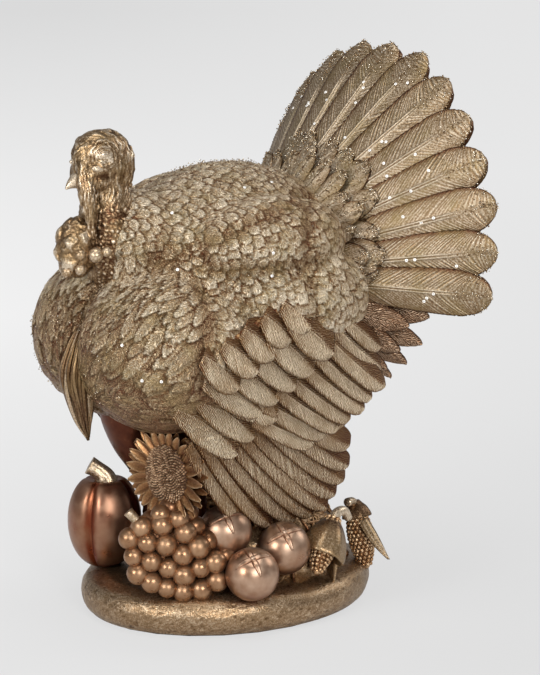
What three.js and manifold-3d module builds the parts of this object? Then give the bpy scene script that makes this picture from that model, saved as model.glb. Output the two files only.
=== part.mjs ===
// A harvest turkey table figure: glued resin castings on an oval plinth, in millimetres with +Z up.
// The bird faces -Y and its left side is +X. The origin is the middle of the felt's underside.
import * as THREE from "three";
import { mergeVertices } from "three/addons/utils/BufferGeometryUtils.js";
import Module from "manifold-3d";

const wasm = await Module();
wasm.setup();

// Fits between castings
const GLUE_GAP = 0.3;
const WALL = 6;
const PEG_RADIUS = 4;
const PEG_LENGTH = 22;

// Plinth, felt and straw mound
const FELT_THICKNESS = 1.5;
const FELT_INSET = 8;
const PLINTH_LENGTH = 190;
const PLINTH_WIDTH = 158;
const PLINTH_HEIGHT = 25;
const PLINTH_CROWN = 3;
const PLINTH_FOOT_INSET = 5;
const PLINTH_SHOULDER = 14;
const MOUND_LENGTH = 120;
const MOUND_WIDTH = 118;
const MOUND_TOP = 68;
const MOUND_Y = 18;
const MOUND_LUMP = 3;

// Torso and its bulges
const TORSO_LENGTH = 184;
const TORSO_WIDTH = 140;
const TORSO_DEPTH = 164;
const TORSO_Y = -2;
const TORSO_Z = 197;
const BREAST_LENGTH = 118;
const BREAST_WIDTH = 118;
const BREAST_DEPTH = 106;
const BREAST_SPREAD = 22;
const BREAST_FORWARD = 54;
const BREAST_DROP = 20;
const SCAPULAR_LENGTH = 108;
const SCAPULAR_WIDTH = 58;
const SCAPULAR_DEPTH = 60;
const SHOULDER_LENGTH = 108;
const SHOULDER_WIDTH = 48;
const SHOULDER_DEPTH = 72;

// Neck and head
const NECK_FOOT_RADIUS = 23;
const NECK_TOP_RADIUS = 14;
const HEAD_LENGTH = 42;
const HEAD_WIDTH = 28;
const HEAD_DEPTH = 47;
const HEAD_FORWARD = 86;
const HEAD_RISE = 90;
const BEAK_LENGTH = 11;
const SNOOD_LENGTH = 56;
const SNOOD_RADIUS = 5;
const CARUNCLE_RADIUS = 4.3;
const NECK_PEG_RADIUS = 10;

// Beard and legs
const BEARD_LENGTH = 68;
const BEARD_RADIUS = 10;
const THIGH_RADIUS = 19;
const SHANK_RADIUS = 5;
const LEG_SPREAD = 19.5;
const LEG_FORWARD = 36;
const STRIDE = 10;
const TOE_LENGTH = 13;
const TOE_RADIUS = 3;

// Wings
const FEATHER_THICKNESS = 5;
const COVERT_COUNT = 6;
const COVERT_WIDTH = 19;
const SECONDARY_COUNT = 6;
const SECONDARY_WIDTH = 17;
const PRIMARY_COUNT = 9;
const PRIMARY_WIDTH = 16;
const RIGHT_PRIMARIES_LESS = 2;
const PRIMARY_COVERT_COUNT = 3;
const PRIMARY_COVERT_WIDTH = 18;
const WING_PROUD = 4;
const STRIP_DEPTH = 9;
const STRIP_SHARE = 0.6;

// Tail
const TAIL_FEATHERS_EACH_SIDE = 7;
const TAIL_STEP = 13.2;
const TAIL_SWEEP = 42;
const TAIL_TILT = 1;
const TAIL_BACK = 49.5;
const TAIL_RISE = 12;
const TAIL_ROOT_RADIUS = 45;
const TAIL_SIDE_LENGTH = 102;
const TAIL_TOP_EXTRA = 17;
const TAIL_FEATHER_WIDTH = 28;
const TAIL_HUB_RADIUS = 68;
const TAIL_HUB_END_RADIUS = 58;
const TAIL_HUB_PLATE = 9;
const TAIL_PEG_RADIUS = 14;
const TAIL_COVERTS_EACH_SIDE = 5;
const TAIL_COVERT_STEP = 17;
const TAIL_COVERT_SWEEP = 39;
const TAIL_COVERT_ROOT_RADIUS = 36;
const TAIL_COVERT_FORWARD = 8;
const TAIL_COVERT_SIDE_LENGTH = 52;
const TAIL_COVERT_TOP_EXTRA = 14;
const TAIL_COVERT_WIDTH = 29;
const UNDERTAIL_COUNT = 9;
const UNDERTAIL_FIRST = 112;
const UNDERTAIL_LAST = 248;
const UNDERTAIL_SWEEP = 50;
const UNDERTAIL_ROOT_RADIUS = 36;
const UNDERTAIL_LENGTH = 66;
const UNDERTAIL_WIDTH = 22;

// Fruit, flower and corn on the plinth, each with its place beside the bird
const PUMPKIN_X = -37;
const PUMPKIN_Y = -66;
const PUMPKIN_RADIUS = 22.5;
const PUMPKIN_HEIGHT = 60;
const PUMPKIN_RIBS = 6;
const PUMPKIN_RIB_DEPTH = 3;
const PUMPKIN_TURN = -58;
const PUMPKIN_STEM_LENGTH = 14;
const PUMPKIN_STEM_RADIUS = 4.5;
const SUNFLOWER_X = 32;
const SUNFLOWER_Y = -63;
const SUNFLOWER_BELOW_BELLY = 25;
const SUNFLOWER_DISC_RADIUS = 17.5;
const SUNFLOWER_DISC_DOME = 5;
const SUNFLOWER_RADIUS = 27;
const SUNFLOWER_SIDE_EXTRA = 9;
const SUNFLOWER_PETALS = 14;
const SUNFLOWER_PETAL_WIDTH = 13;
const SUNFLOWER_FACING = 8;
const SUNFLOWER_STALK_RADIUS = 4;
const GRAPE_RADIUS = 5.8;
const BUNCH_X = 37;
const BUNCH_Y = -62;
const BUNCH_WIDTH = 62;
const BUNCH_HEIGHT = 48;
const BUNCH_BULGE = 11;
const BUNCH_FACING = 55;
const GRAPE_STALK_LENGTH = 15;
const GRAPE_STALK_RADIUS = 2.8;
const FRUIT_RADIUS = 16.5;
const FRONT_FRUIT_X = 71;
const FRONT_FRUIT_Y = -29;
const SIDE_FRUIT_X = 59;
const SIDE_FRUIT_Y = 3;
const SIDE_FRUIT_RISE = 5.5;
const CALYX_LEAF_LENGTH = 9;
const CALYX_LEAF_WIDTH = 5;
const FRONT_COB_X = 68;
const FRONT_COB_Y = 21;
const REAR_COB_X = 44;
const REAR_COB_Y = 77;
const COB_LENGTH = 37;
const COB_RADIUS = 8;
const COB_ROWS = 8;
const KERNEL_DEPTH = 1;
const HUSK_LENGTH = 40;
const HUSK_WIDTH = 19;
const HUSK_THICKNESS = 3;
const CORN_STALK_RADIUS = 3;

// Smoothness of the round forms
const ROUND = 16;
const SMALL_ROUND = 10;

const vec = (x, y, z) => new THREE.Vector3(x, y, z);
const radians = THREE.MathUtils.degToRad;
const half = (size) => size / 2;

// Solids, joins and cuts

function solidFrom(geometry) {
  const bare = new THREE.BufferGeometry();
  bare.setAttribute("position", geometry.attributes.position);
  bare.setIndex(geometry.index);
  const welded = mergeVertices(bare, 1e-3);
  const source = welded.index.array;
  const corners = [];
  for (let i = 0; i < source.length; i += 3) {
    const [a, b, c] = [source[i], source[i + 1], source[i + 2]];
    if (a !== b && b !== c && c !== a) {
      corners.push(a, b, c);
    }
  }
  const mesh = new wasm.Mesh({
    numProp: 3,
    vertProperties: new Float32Array(welded.attributes.position.array),
    triVerts: new Uint32Array(corners),
  });
  return new wasm.Manifold(mesh);
}

function geometryFrom(solid) {
  const mesh = solid.getMesh();
  const geometry = new THREE.BufferGeometry();
  const places = new Float32Array(mesh.vertProperties);
  geometry.setAttribute("position", new THREE.BufferAttribute(places, 3));
  geometry.setIndex(new THREE.BufferAttribute(new Uint32Array(mesh.triVerts), 1));
  geometry.computeVertexNormals();
  return geometry;
}

const join = (...solids) => solids.flat().reduce((whole, next) => whole.add(next));
const cut = (solid, ...tools) => tools.flat().reduce((rest, tool) => rest.subtract(tool), solid);

// The one casting that is left after a cut, without the crumbs on the hidden side of its seat
function mainBody(solid) {
  const bodies = solid.decompose();
  return bodies.reduce((best, next) => (next.volume() > best.volume() ? next : best));
}

// Basic forms

const middle = (ring) => ring.reduce((sum, p) => sum.add(p), vec(0, 0, 0)).divideScalar(ring.length);

// A closed skin over rings of equal point counts, with a fan to the middle of each end
function loft(rings) {
  const count = rings[0].length;
  const points = [...rings.flat(), middle(rings[0]), middle(rings[rings.length - 1])];
  const firstEnd = points.length - 2;
  const lastEnd = points.length - 1;
  const lastRing = (rings.length - 1) * count;
  const corners = [];
  for (let j = 0; j < count; j += 1) {
    const k = (j + 1) % count;
    for (let i = 0; i < rings.length - 1; i += 1) {
      const low = i * count;
      const high = low + count;
      corners.push(low + j, low + k, high + k, low + j, high + k, high + j);
    }
    corners.push(firstEnd, k, j, lastEnd, lastRing + j, lastRing + k);
  }
  const geometry = new THREE.BufferGeometry().setFromPoints(points);
  geometry.setIndex(corners);
  return geometry;
}

function ellipsoid(centre, size, grow = 0, round = ROUND, turn = 0) {
  const geometry = new THREE.SphereGeometry(1, round, Math.ceil(round * 0.6));
  geometry.scale(half(size.x) + grow, half(size.y) + grow, half(size.z) + grow);
  geometry.rotateZ(radians(turn));
  geometry.translate(centre.x, centre.y, centre.z);
  return solidFrom(geometry);
}

const ball = (centre, radius, grow = 0, round = SMALL_ROUND) =>
  ellipsoid(centre, vec(2 * radius, 2 * radius, 2 * radius), grow, round);

// An oval ring at one height
function oval(halfX, halfY, z, y = 0, round = 24) {
  const ring = [];
  for (let i = 0; i < round; i += 1) {
    const turn = (i / round) * 2 * Math.PI;
    ring.push(vec(halfX * Math.cos(turn), y + halfY * Math.sin(turn), z));
  }
  return ring;
}

// A round limb through points, each with its own radius
function limb(stops, grow = 0, round = SMALL_ROUND) {
  const points = stops.map((stop) => stop.at);
  const rings = stops.map((stop, i) => {
    const before = points[Math.max(i - 1, 0)];
    const after = points[Math.min(i + 1, points.length - 1)];
    const along = after.clone().sub(before).normalize();
    const side = vec(0, 1, 0).cross(along);
    if (side.length() < 0.2) {
      side.set(1, 0, 0);
    }
    side.normalize();
    const other = along.clone().cross(side);
    const ring = [];
    for (let j = 0; j < round; j += 1) {
      const turn = (j / round) * 2 * Math.PI;
      const out = side.clone().multiplyScalar(Math.cos(turn)).addScaledVector(other, Math.sin(turn));
      ring.push(stop.at.clone().addScaledVector(out, stop.radius + grow));
    }
    return ring;
  });
  return solidFrom(loft(rings));
}

// A straight round peg from one point along a direction
function peg(from, along, length, radius, grow = 0) {
  const wide = radius + grow;
  const geometry = new THREE.CylinderGeometry(wide, wide, length + 2 * grow, SMALL_ROUND);
  geometry.translate(0, half(length), 0);
  const turn = new THREE.Quaternion().setFromUnitVectors(vec(0, 1, 0), along.clone().normalize());
  geometry.applyQuaternion(turn);
  geometry.translate(from.x, from.y, from.z);
  return solidFrom(geometry);
}

// Share of the full half-width along a feather, narrow at the quill and round at the tip
function vaneShare(t, root, widest) {
  if (t < widest) {
    return root + (1 - root) * Math.sin((t / widest) * half(Math.PI));
  }
  const end = (t - widest) / (1 - widest);
  return Math.sqrt(Math.max(1 - 0.8 * end * end, 0));
}

// Half sections of a vane, as shares of its half-width and its thickness
const RIDGED = [
  [-1, 0],
  [0, 0.56],
  [1, 0],
  [0, -0.44],
];

// A moulded feather from its quill to its tip, with a raised shaft along the face and a lens section
function feather(from, to, face, width, options = {}) {
  const { thickness = FEATHER_THICKNESS, root = 0.45, widest = 0.66 } = options;
  const { curl = 0, roll = 0, grow = 0 } = options;
  const stations = options.stations || [0, 0.76, 1];
  const along = to.clone().sub(from);
  const length = along.length();
  along.normalize();
  const up = face.clone().addScaledVector(along, -face.dot(along)).normalize();
  up.applyAxisAngle(along, radians(roll));
  const side = along.clone().cross(up);
  const rings = stations.map((t) => {
    const reach = half(width) * vaneShare(t, root, widest) + grow;
    const thick = thickness * (1 - 0.35 * t) + 2 * grow;
    const at = from.clone().addScaledVector(along, t * (length + 2 * grow) - grow);
    at.addScaledVector(up, curl * t * t * length);
    return RIDGED.map(([x, z]) => {
      const point = at.clone().addScaledVector(side, x * reach);
      return point.addScaledVector(up, z * thick);
    });
  });
  return solidFrom(loft(rings));
}

const between = (a, b, t) => a.clone().lerp(b, t);

// The solid strip that ties a row of feathers together, from their quills to part of the way down
function strip(feathers, grow) {
  const rings = feathers.map(({ from, to, face }) => {
    const along = to.clone().sub(from).normalize();
    const near = between(from, to, 0.05).addScaledVector(along, -grow);
    const far = between(from, to, STRIP_SHARE).addScaledVector(along, grow);
    const top = (point) => point.clone().addScaledVector(face, grow - 0.1 * FEATHER_THICKNESS);
    const under = (point) => point.clone().addScaledVector(face, -STRIP_DEPTH - grow);
    return [top(near), top(far), under(far), under(near)];
  });
  const across = feathers[feathers.length - 1].from.clone().sub(feathers[0].from);
  const first = feathers[0];
  const facing = first.face.clone().cross(first.to.clone().sub(first.from));
  if (across.dot(facing) < 0) {
    rings.reverse();
  }
  return solidFrom(loft(rings));
}

// A row of overlapping feathers from one line of quills to one line or curve of tips, on its strip
function featherRow(row, grow) {
  const feathers = [];
  for (let i = row.first ?? 0; i < row.count; i += 1) {
    const t = i / (row.count - 1);
    const from = between(row.rootFrom, row.rootTo, t);
    const to = row.tips ? row.tips.getPoint(t) : between(row.tipFrom, row.tipTo, t);
    feathers.push({ from, to, face: row.face });
  }
  const blades = feathers.map(({ from, to, face }) =>
    feather(from, to, face, row.width, { ...row.options, grow }),
  );
  return [...blades, strip(feathers, grow)];
}

// Plinth, mound and felt

function plinthSolid(grow = 0) {
  const x = half(PLINTH_WIDTH) + grow;
  const y = half(PLINTH_LENGTH) + grow;
  const rise = PLINTH_HEIGHT - FELT_THICKNESS;
  const profile = [
    [PLINTH_FOOT_INSET, 0],
    [0.3 * PLINTH_FOOT_INSET, 0.18],
    [0, 0.42],
    [0.06 * PLINTH_SHOULDER, 0.66],
    [0.36 * PLINTH_SHOULDER, 0.88],
    [PLINTH_SHOULDER, 1],
  ];
  const rings = profile.map(([inset, share]) =>
    oval(x - inset, y - inset, FELT_THICKNESS + share * rise + (share > 0.5 ? grow : 0)),
  );
  rings.push(oval(half(x), half(y), PLINTH_HEIGHT + PLINTH_CROWN + grow));
  return solidFrom(loft(rings));
}

function moundSolid(grow = 0, foot = PLINTH_HEIGHT - 2) {
  const rise = MOUND_TOP - foot + grow;
  const rings = [0, 20, 44, 66, 82].map((degrees) => {
    const share = Math.sqrt(Math.cos(radians(degrees)));
    const z = foot + rise * Math.sin(radians(degrees));
    const ring = [];
    for (let i = 0; i < 2 * ROUND; i += 1) {
      const turn = (i / (2 * ROUND)) * 2 * Math.PI;
      const lump = MOUND_LUMP * Math.sin(7 * turn + 0.07 * degrees) * Math.cos(3 * turn - 0.05 * degrees);
      const x = (half(MOUND_WIDTH) + grow + lump) * share * Math.cos(turn);
      const y = (half(MOUND_LENGTH) + grow + lump) * share * Math.sin(turn);
      ring.push(vec(x, MOUND_Y + y, z));
    }
    return ring;
  });
  return solidFrom(loft(rings));
}

const groundForm = (grow) => [plinthSolid(grow), moundSolid(grow)];

function plinthHollow() {
  const inset = WALL + PLINTH_FOOT_INSET;
  const x = half(PLINTH_WIDTH) - inset;
  const y = half(PLINTH_LENGTH) - inset;
  const roof = PLINTH_HEIGHT - WALL;
  const rings = [
    oval(x, y, 0, 0, 16),
    oval(x, y, half(roof), 0, 16),
    oval(x - WALL, y - WALL, roof, 0, 16),
  ];
  return join(solidFrom(loft(rings)), moundSolid(-WALL, half(roof)));
}

function feltSolid() {
  const x = half(PLINTH_WIDTH) - FELT_INSET;
  const y = half(PLINTH_LENGTH) - FELT_INSET;
  return solidFrom(loft([oval(x, y, 0), oval(x, y, FELT_THICKNESS)]));
}

// Body

const torsoCentre = vec(0, TORSO_Y, TORSO_Z);
const torsoSize = vec(TORSO_WIDTH, TORSO_LENGTH, TORSO_DEPTH);
const breastSize = vec(BREAST_WIDTH, BREAST_LENGTH, BREAST_DEPTH);
const scapularSize = vec(SCAPULAR_WIDTH, SCAPULAR_LENGTH, SCAPULAR_DEPTH);
const shoulderSize = vec(SHOULDER_WIDTH, SHOULDER_LENGTH, SHOULDER_DEPTH);
const breastY = TORSO_Y - BREAST_FORWARD;
const breastZ = TORSO_Z - BREAST_DROP;
const scapularX = half(TORSO_WIDTH) - 24;
const scapularZ = TORSO_Z + half(TORSO_DEPTH) - 43;
const shoulderX = half(TORSO_WIDTH) - 14;

function bodyForm(grow = 0) {
  const forms = [ellipsoid(torsoCentre, torsoSize, grow, ROUND)];
  for (const side of [1, -1]) {
    forms.push(ellipsoid(vec(side * BREAST_SPREAD, breastY, breastZ), breastSize, grow, 14));
    forms.push(ellipsoid(vec(side * scapularX, TORSO_Y + 2, scapularZ), scapularSize, grow, 10));
    forms.push(ellipsoid(vec(side * shoulderX, TORSO_Y + 14, TORSO_Z + 3), shoulderSize, grow, 10));
  }
  return join(forms);
}

const bodyHollow = () => ellipsoid(torsoCentre, torsoSize, -WALL, SMALL_ROUND);

// Pegs that hold the castings on the body

const tailUp = vec(0, Math.sin(radians(TAIL_TILT)), Math.cos(radians(TAIL_TILT)));
const tailBack = vec(0, Math.cos(radians(TAIL_TILT)), -Math.sin(radians(TAIL_TILT)));
const tailCentre = vec(0, TORSO_Y + TAIL_BACK, TORSO_Z + TAIL_RISE);
const tailHubDepth = half(TORSO_LENGTH) - TAIL_BACK + TAIL_HUB_PLATE;

const headCentre = vec(0, TORSO_Y - HEAD_FORWARD, TORSO_Z + HEAD_RISE);
const neckFoot = vec(0, headCentre.y + 24, headCentre.z - 74);

function tailPeg(grow) {
  const root = tailCentre.clone().addScaledVector(tailBack, tailHubDepth - half(TAIL_HUB_PLATE));
  return peg(root, tailBack.clone().negate(), TAIL_HUB_PLATE + PEG_LENGTH, TAIL_PEG_RADIUS, grow);
}

function neckPeg(grow) {
  const root = headCentre.clone().add(vec(0, 4, -34));
  return peg(root, vec(0, 0.4, -0.9), 2 * PEG_LENGTH, NECK_PEG_RADIUS, grow);
}

const beardRoot = vec(0, breastY - half(BREAST_LENGTH) + 8, breastZ + 10);

function beardPeg(grow) {
  const root = beardRoot.clone().add(vec(0, -7, -8));
  return peg(root, vec(0, 1, 0), PEG_LENGTH, 0.6 * PEG_RADIUS, grow);
}

const wingX = half(TORSO_WIDTH) + WING_PROUD;
const wingPoint = (x, y, z) => vec(wingX + x, TORSO_Y + y, TORSO_Z + z);

const wingPegs = (grow) => [
  peg(wingPoint(-4, 14, -36), vec(-1, 0, 0), PEG_LENGTH, PEG_RADIUS, grow),
];

const skirtPegs = (grow) => [
  peg(wingPoint(-5, -43, -62), vec(-1, 0, 0), PEG_LENGTH, half(PEG_RADIUS), grow),
];

const flipped = (solid) => {
  const geometry = geometryFrom(solid);
  geometry.scale(-1, 1, 1);
  const corners = geometry.index.array;
  for (let i = 0; i < corners.length; i += 3) {
    [corners[i], corners[i + 1]] = [corners[i + 1], corners[i]];
  }
  return solidFrom(geometry);
};

// Legs: the right one steps forward

const legFoot = (side) =>
  vec(side * LEG_SPREAD, TORSO_Y - LEG_FORWARD + side * half(STRIDE), PLINTH_HEIGHT + 3);
const bellyZ = breastZ - half(BREAST_DEPTH);

function legPegs(side, grow) {
  const foot = legFoot(side);
  const hip = vec(foot.x, foot.y - 12, bellyZ - 8);
  return [
    peg(hip, vec(0, 0, 1), PEG_LENGTH, 1.5 * PEG_RADIUS, grow),
    peg(foot.clone().add(vec(0, 0, 6)), vec(0, 0, -1), PEG_LENGTH, PEG_RADIUS, grow),
  ];
}

function legForm(side, grow = 0) {
  const foot = legFoot(side);
  const rise = bellyZ - foot.z;
  const stop = (forward, share, radius) => {
    const at = vec(foot.x, foot.y - forward, foot.z + share * rise);
    return { at, radius };
  };
  const leg = limb(
    [
      stop(0, 0, 1.1 * SHANK_RADIUS),
      stop(0, 0.25, SHANK_RADIUS),
      stop(1, 0.5, 1.1 * SHANK_RADIUS),
      stop(5, 0.65, 0.5 * THIGH_RADIUS),
      stop(10, 0.82, 0.82 * THIGH_RADIUS),
      stop(14, 1, THIGH_RADIUS),
      stop(16, 1.15, THIGH_RADIUS),
    ],
    grow,
    10,
  );
  const toes = [-38, 0, 38, 180].map((degrees) => {
    const along = vec(Math.sin(radians(degrees)), -Math.cos(radians(degrees)), 0);
    const start = foot.clone().add(vec(0, 0, 5));
    const end = foot.clone().addScaledVector(along, TOE_LENGTH).add(vec(0, 0, 1.5));
    return limb(
      [
        { at: start, radius: TOE_RADIUS },
        { at: between(start, end, 0.6), radius: TOE_RADIUS },
        { at: end, radius: half(TOE_RADIUS) },
      ],
      grow,
      6,
    );
  });
  return join(leg, toes);
}

// Neck and head: skull, cheeks, eyes, beak, snood and caruncles in one casting

function headForm() {
  const fromHead = (x, y, z) => headCentre.clone().add(vec(x, y, z));
  const neck = limb(
    [
      { at: neckFoot, radius: NECK_FOOT_RADIUS },
      { at: fromHead(0, 8, -52), radius: 0.96 * NECK_FOOT_RADIUS },
      { at: fromHead(0, 3, -32), radius: half(NECK_FOOT_RADIUS + NECK_TOP_RADIUS) },
      { at: fromHead(0, 1, -14), radius: NECK_TOP_RADIUS },
      { at: fromHead(0, 0, 0), radius: 0.9 * NECK_TOP_RADIUS },
    ],
    0,
    10,
  );
  const forms = [neck, ellipsoid(headCentre, vec(HEAD_WIDTH, HEAD_LENGTH, HEAD_DEPTH), 0, 12)];
  const browY = -half(HEAD_LENGTH);
  for (const side of [1, -1]) {
    forms.push(ellipsoid(fromHead(side * 7, -8, -7), vec(17, 20, 20), 0, 8));
    forms.push(ellipsoid(fromHead(side * 9, -8, 12), vec(10, 18, 7), 0, 8));
    forms.push(ball(fromHead(side * 0.36 * HEAD_WIDTH, -10, 6), 3.5, 0, 6));
  }
  const beakRoot = fromHead(0, browY + 5, -5);
  const beakTip = fromHead(0, browY - BEAK_LENGTH + 5, -9);
  const beak = limb(
    [
      { at: beakRoot, radius: 7 },
      { at: between(beakRoot, beakTip, 0.5).add(vec(0, 0, 2)), radius: 5 },
      { at: between(beakRoot, beakTip, 0.85).add(vec(0, 0, 0.6)), radius: 2.8 },
      { at: beakTip, radius: 1 },
    ],
    0,
    8,
  );
  const chin = limb(
    [
      { at: beakRoot.clone().add(vec(0, 2, -5)), radius: 5 },
      { at: between(beakRoot, beakTip, 0.45).add(vec(0, 0, -5)), radius: 3 },
      { at: between(beakRoot, beakTip, 0.75).add(vec(0, 0, -4)), radius: 1.2 },
    ],
    0,
    6,
  );
  const hang = SNOOD_LENGTH;
  const snood = limb(
    [
      { at: fromHead(1, browY + 6, 10), radius: 0.9 * SNOOD_RADIUS },
      { at: fromHead(6, browY + 1, 4), radius: SNOOD_RADIUS },
      { at: fromHead(10, browY + 1, 8 - 0.32 * hang), radius: 1.1 * SNOOD_RADIUS },
      { at: fromHead(12, browY + 2, 8 - 0.66 * hang), radius: SNOOD_RADIUS },
      { at: fromHead(13, browY + 3, 8 - 0.94 * hang), radius: 0.7 * SNOOD_RADIUS },
    ],
    0,
    8,
  );
  forms.push(beak, chin, snood);
  forms.push(ellipsoid(fromHead(1, -13, -44), vec(27, 28, 36), 0, 8));
  const beads = [
    [14, -21, -52],
    [0, -28, -53],
    [8, -26, -54],
    [3, -27, -61],
    [-9, -24, -53],
    [4, -27, -34],
    [-6, -25, -40],
  ];
  for (const [x, y, z] of beads) {
    forms.push(ball(fromHead(x, y, z), CARUNCLE_RADIUS, 0, 6));
  }
  return join(forms);
}

// Beard

function beardForm() {
  const drop = (share, forward) => beardRoot.clone().add(vec(0, -forward, -share * BEARD_LENGTH));
  return limb(
    [
      { at: drop(-0.06, -2), radius: 0.5 * BEARD_RADIUS },
      { at: drop(0.12, 2), radius: 0.85 * BEARD_RADIUS },
      { at: drop(0.45, 5), radius: BEARD_RADIUS },
      { at: drop(0.8, 0), radius: 0.7 * BEARD_RADIUS },
      { at: drop(1, -5), radius: 0.15 * BEARD_RADIUS },
    ],
    0,
    10,
  );
}

// Left wing: the upper tier of coverts over secondaries, then the drooped lower tier

function upperWing(grow = 0) {
  const coverts = featherRow(
    {
      count: COVERT_COUNT,
      rootFrom: wingPoint(7, -56, -27),
      rootTo: wingPoint(6, -3, -4),
      tipFrom: wingPoint(-1, -24, -53),
      tipTo: wingPoint(6, 24, -24),
      face: vec(1, 0, 0.15).normalize(),
      width: COVERT_WIDTH,
      options: { roll: -6 },
    },
    grow,
  );
  const secondaries = featherRow(
    {
      count: SECONDARY_COUNT,
      rootFrom: wingPoint(0, -18, -50),
      rootTo: wingPoint(1, 24, -11),
      tipFrom: wingPoint(-2, 25, -73),
      tipTo: wingPoint(-4, 72, -58),
      face: vec(1, 0.1, 0.1).normalize(),
      width: SECONDARY_WIDTH,
      options: { roll: -6 },
    },
    grow,
  );
  return join(coverts, secondaries);
}

function lowerWing(grow = 0, first = 0) {
  const groundZ = MOUND_TOP - TORSO_Z;
  const tips = new THREE.QuadraticBezierCurve3(
    wingPoint(-24, -12, groundZ - 9),
    wingPoint(-24, 76, groundZ - 22),
    wingPoint(-9, 48, -75),
  );
  const primaries = featherRow(
    {
      count: PRIMARY_COUNT,
      first,
      rootFrom: wingPoint(-7, -62, -79),
      rootTo: wingPoint(-4, 2, -57),
      tips,
      face: vec(1, 0, -0.15).normalize(),
      width: PRIMARY_WIDTH,
      options: { roll: -6, root: 0.5 },
    },
    grow,
  );
  const coverts = featherRow(
    {
      count: PRIMARY_COVERT_COUNT,
      rootFrom: wingPoint(-3, -74, -49),
      rootTo: wingPoint(2, -56, -43),
      tipFrom: wingPoint(-5, -40, -80),
      tipTo: wingPoint(0, -21, -66),
      face: vec(1, -0.1, -0.05).normalize(),
      width: PRIMARY_COVERT_WIDTH,
      options: { roll: -6 },
    },
    grow,
  );
  return join(primaries, coverts);
}

// Tail: a swept cone of feathers round the rump

function fanPlace(degrees, { rootRadius, sweep, length, forward }) {
  const turn = radians(degrees);
  const lean = radians(sweep);
  const outward = vec(Math.sin(turn), 0, 0).addScaledVector(tailUp, Math.cos(turn));
  const along = outward.clone().multiplyScalar(Math.cos(lean)).addScaledVector(tailBack, Math.sin(lean));
  const face = outward.clone().multiplyScalar(Math.sin(lean)).addScaledVector(tailBack, -Math.cos(lean));
  const from = tailCentre.clone().addScaledVector(outward, rootRadius).addScaledVector(face, forward);
  const to = from.clone().addScaledVector(along, length);
  return { from, to, face };
}

// The cone under the quills that ties them together, closed by a plate behind the rump
function tailHub(grow) {
  const ring = (radius, back) => {
    const points = [];
    for (let i = 0; i < ROUND; i += 1) {
      const turn = (i / ROUND) * 2 * Math.PI;
      const outward = vec(Math.sin(turn), 0, 0).addScaledVector(tailUp, Math.cos(turn));
      const at = tailCentre.clone().addScaledVector(tailBack, back);
      points.push(at.addScaledVector(outward, radius + grow));
    }
    return points;
  };
  const underQuills = 0.25 * FEATHER_THICKNESS;
  const coneDepth = (TAIL_HUB_RADIUS - TAIL_ROOT_RADIUS) * Math.tan(radians(TAIL_SWEEP));
  const rings = [
    ring(TAIL_ROOT_RADIUS, underQuills),
    ring(TAIL_HUB_RADIUS, underQuills + coneDepth),
    ring(TAIL_HUB_END_RADIUS, tailHubDepth + grow),
  ];
  return solidFrom(loft(rings));
}

const TAIL_STATIONS = [0, 0.6, 0.86, 0.96, 1];

function tailFan(grow = 0) {
  const feathers = [];
  for (let i = -TAIL_FEATHERS_EACH_SIDE; i <= TAIL_FEATHERS_EACH_SIDE; i += 1) {
    const degrees = i * TAIL_STEP;
    const form = {
      rootRadius: TAIL_ROOT_RADIUS,
      sweep: TAIL_SWEEP,
      length: TAIL_SIDE_LENGTH + TAIL_TOP_EXTRA * Math.cos(radians(degrees)),
      forward: 0,
    };
    const { from, to, face } = fanPlace(degrees, form);
    const options = { grow, roll: 5 * Math.sign(i), stations: TAIL_STATIONS, widest: 0.8 };
    feathers.push(feather(from, to, face, TAIL_FEATHER_WIDTH, options));
  }
  return join(feathers, tailHub(grow));
}

function tailCoverts(grow = 0) {
  const feathers = [];
  const blades = [];
  for (let i = -TAIL_COVERTS_EACH_SIDE; i <= TAIL_COVERTS_EACH_SIDE; i += 1) {
    const degrees = i * TAIL_COVERT_STEP;
    const place = fanPlace(degrees, {
      rootRadius: TAIL_COVERT_ROOT_RADIUS,
      sweep: TAIL_COVERT_SWEEP,
      length: TAIL_COVERT_SIDE_LENGTH + TAIL_COVERT_TOP_EXTRA * Math.cos(radians(degrees)),
      forward: TAIL_COVERT_FORWARD,
    });
    feathers.push(place);
    const options = { grow, roll: 5 * Math.sign(i) };
    blades.push(feather(place.from, place.to, place.face, TAIL_COVERT_WIDTH, options));
  }
  return join(blades, strip(feathers, grow));
}

function undertail(grow = 0) {
  const feathers = [];
  for (let i = 0; i < UNDERTAIL_COUNT; i += 1) {
    const degrees = UNDERTAIL_FIRST + ((UNDERTAIL_LAST - UNDERTAIL_FIRST) * i) / (UNDERTAIL_COUNT - 1);
    feathers.push(
      fanPlace(degrees, {
        rootRadius: UNDERTAIL_ROOT_RADIUS,
        sweep: UNDERTAIL_SWEEP,
        length: UNDERTAIL_LENGTH,
        forward: 0,
      }),
    );
  }
  const blades = feathers.map(({ from, to, face }) => feather(from, to, face, UNDERTAIL_WIDTH, { grow }));
  return join(blades, strip(feathers, grow));
}

// Pumpkin with ribs and a curved stem

const pumpkinCentre = vec(PUMPKIN_X, PUMPKIN_Y, PLINTH_HEIGHT + half(PUMPKIN_HEIGHT) - 1);

function pumpkinForm(grow = 0) {
  const rings = [-80, -56, -28, 4, 36, 62, 82].map((degrees) => {
    const level = radians(degrees);
    const ring = [];
    const steps = 4 * PUMPKIN_RIBS;
    for (let i = 0; i < steps; i += 1) {
      const groove = [1, 0.2, 0, 0.2][i % 4];
      const radius = (PUMPKIN_RADIUS - PUMPKIN_RIB_DEPTH * groove) * Math.cos(level) + grow;
      const turn = (i / steps) * 2 * Math.PI + radians(PUMPKIN_TURN);
      const z = half(PUMPKIN_HEIGHT) * Math.sin(level) + grow * Math.sin(level);
      ring.push(pumpkinCentre.clone().add(vec(radius * Math.cos(turn), radius * Math.sin(turn), z)));
    }
    return ring;
  });
  return solidFrom(loft(rings));
}

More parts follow.
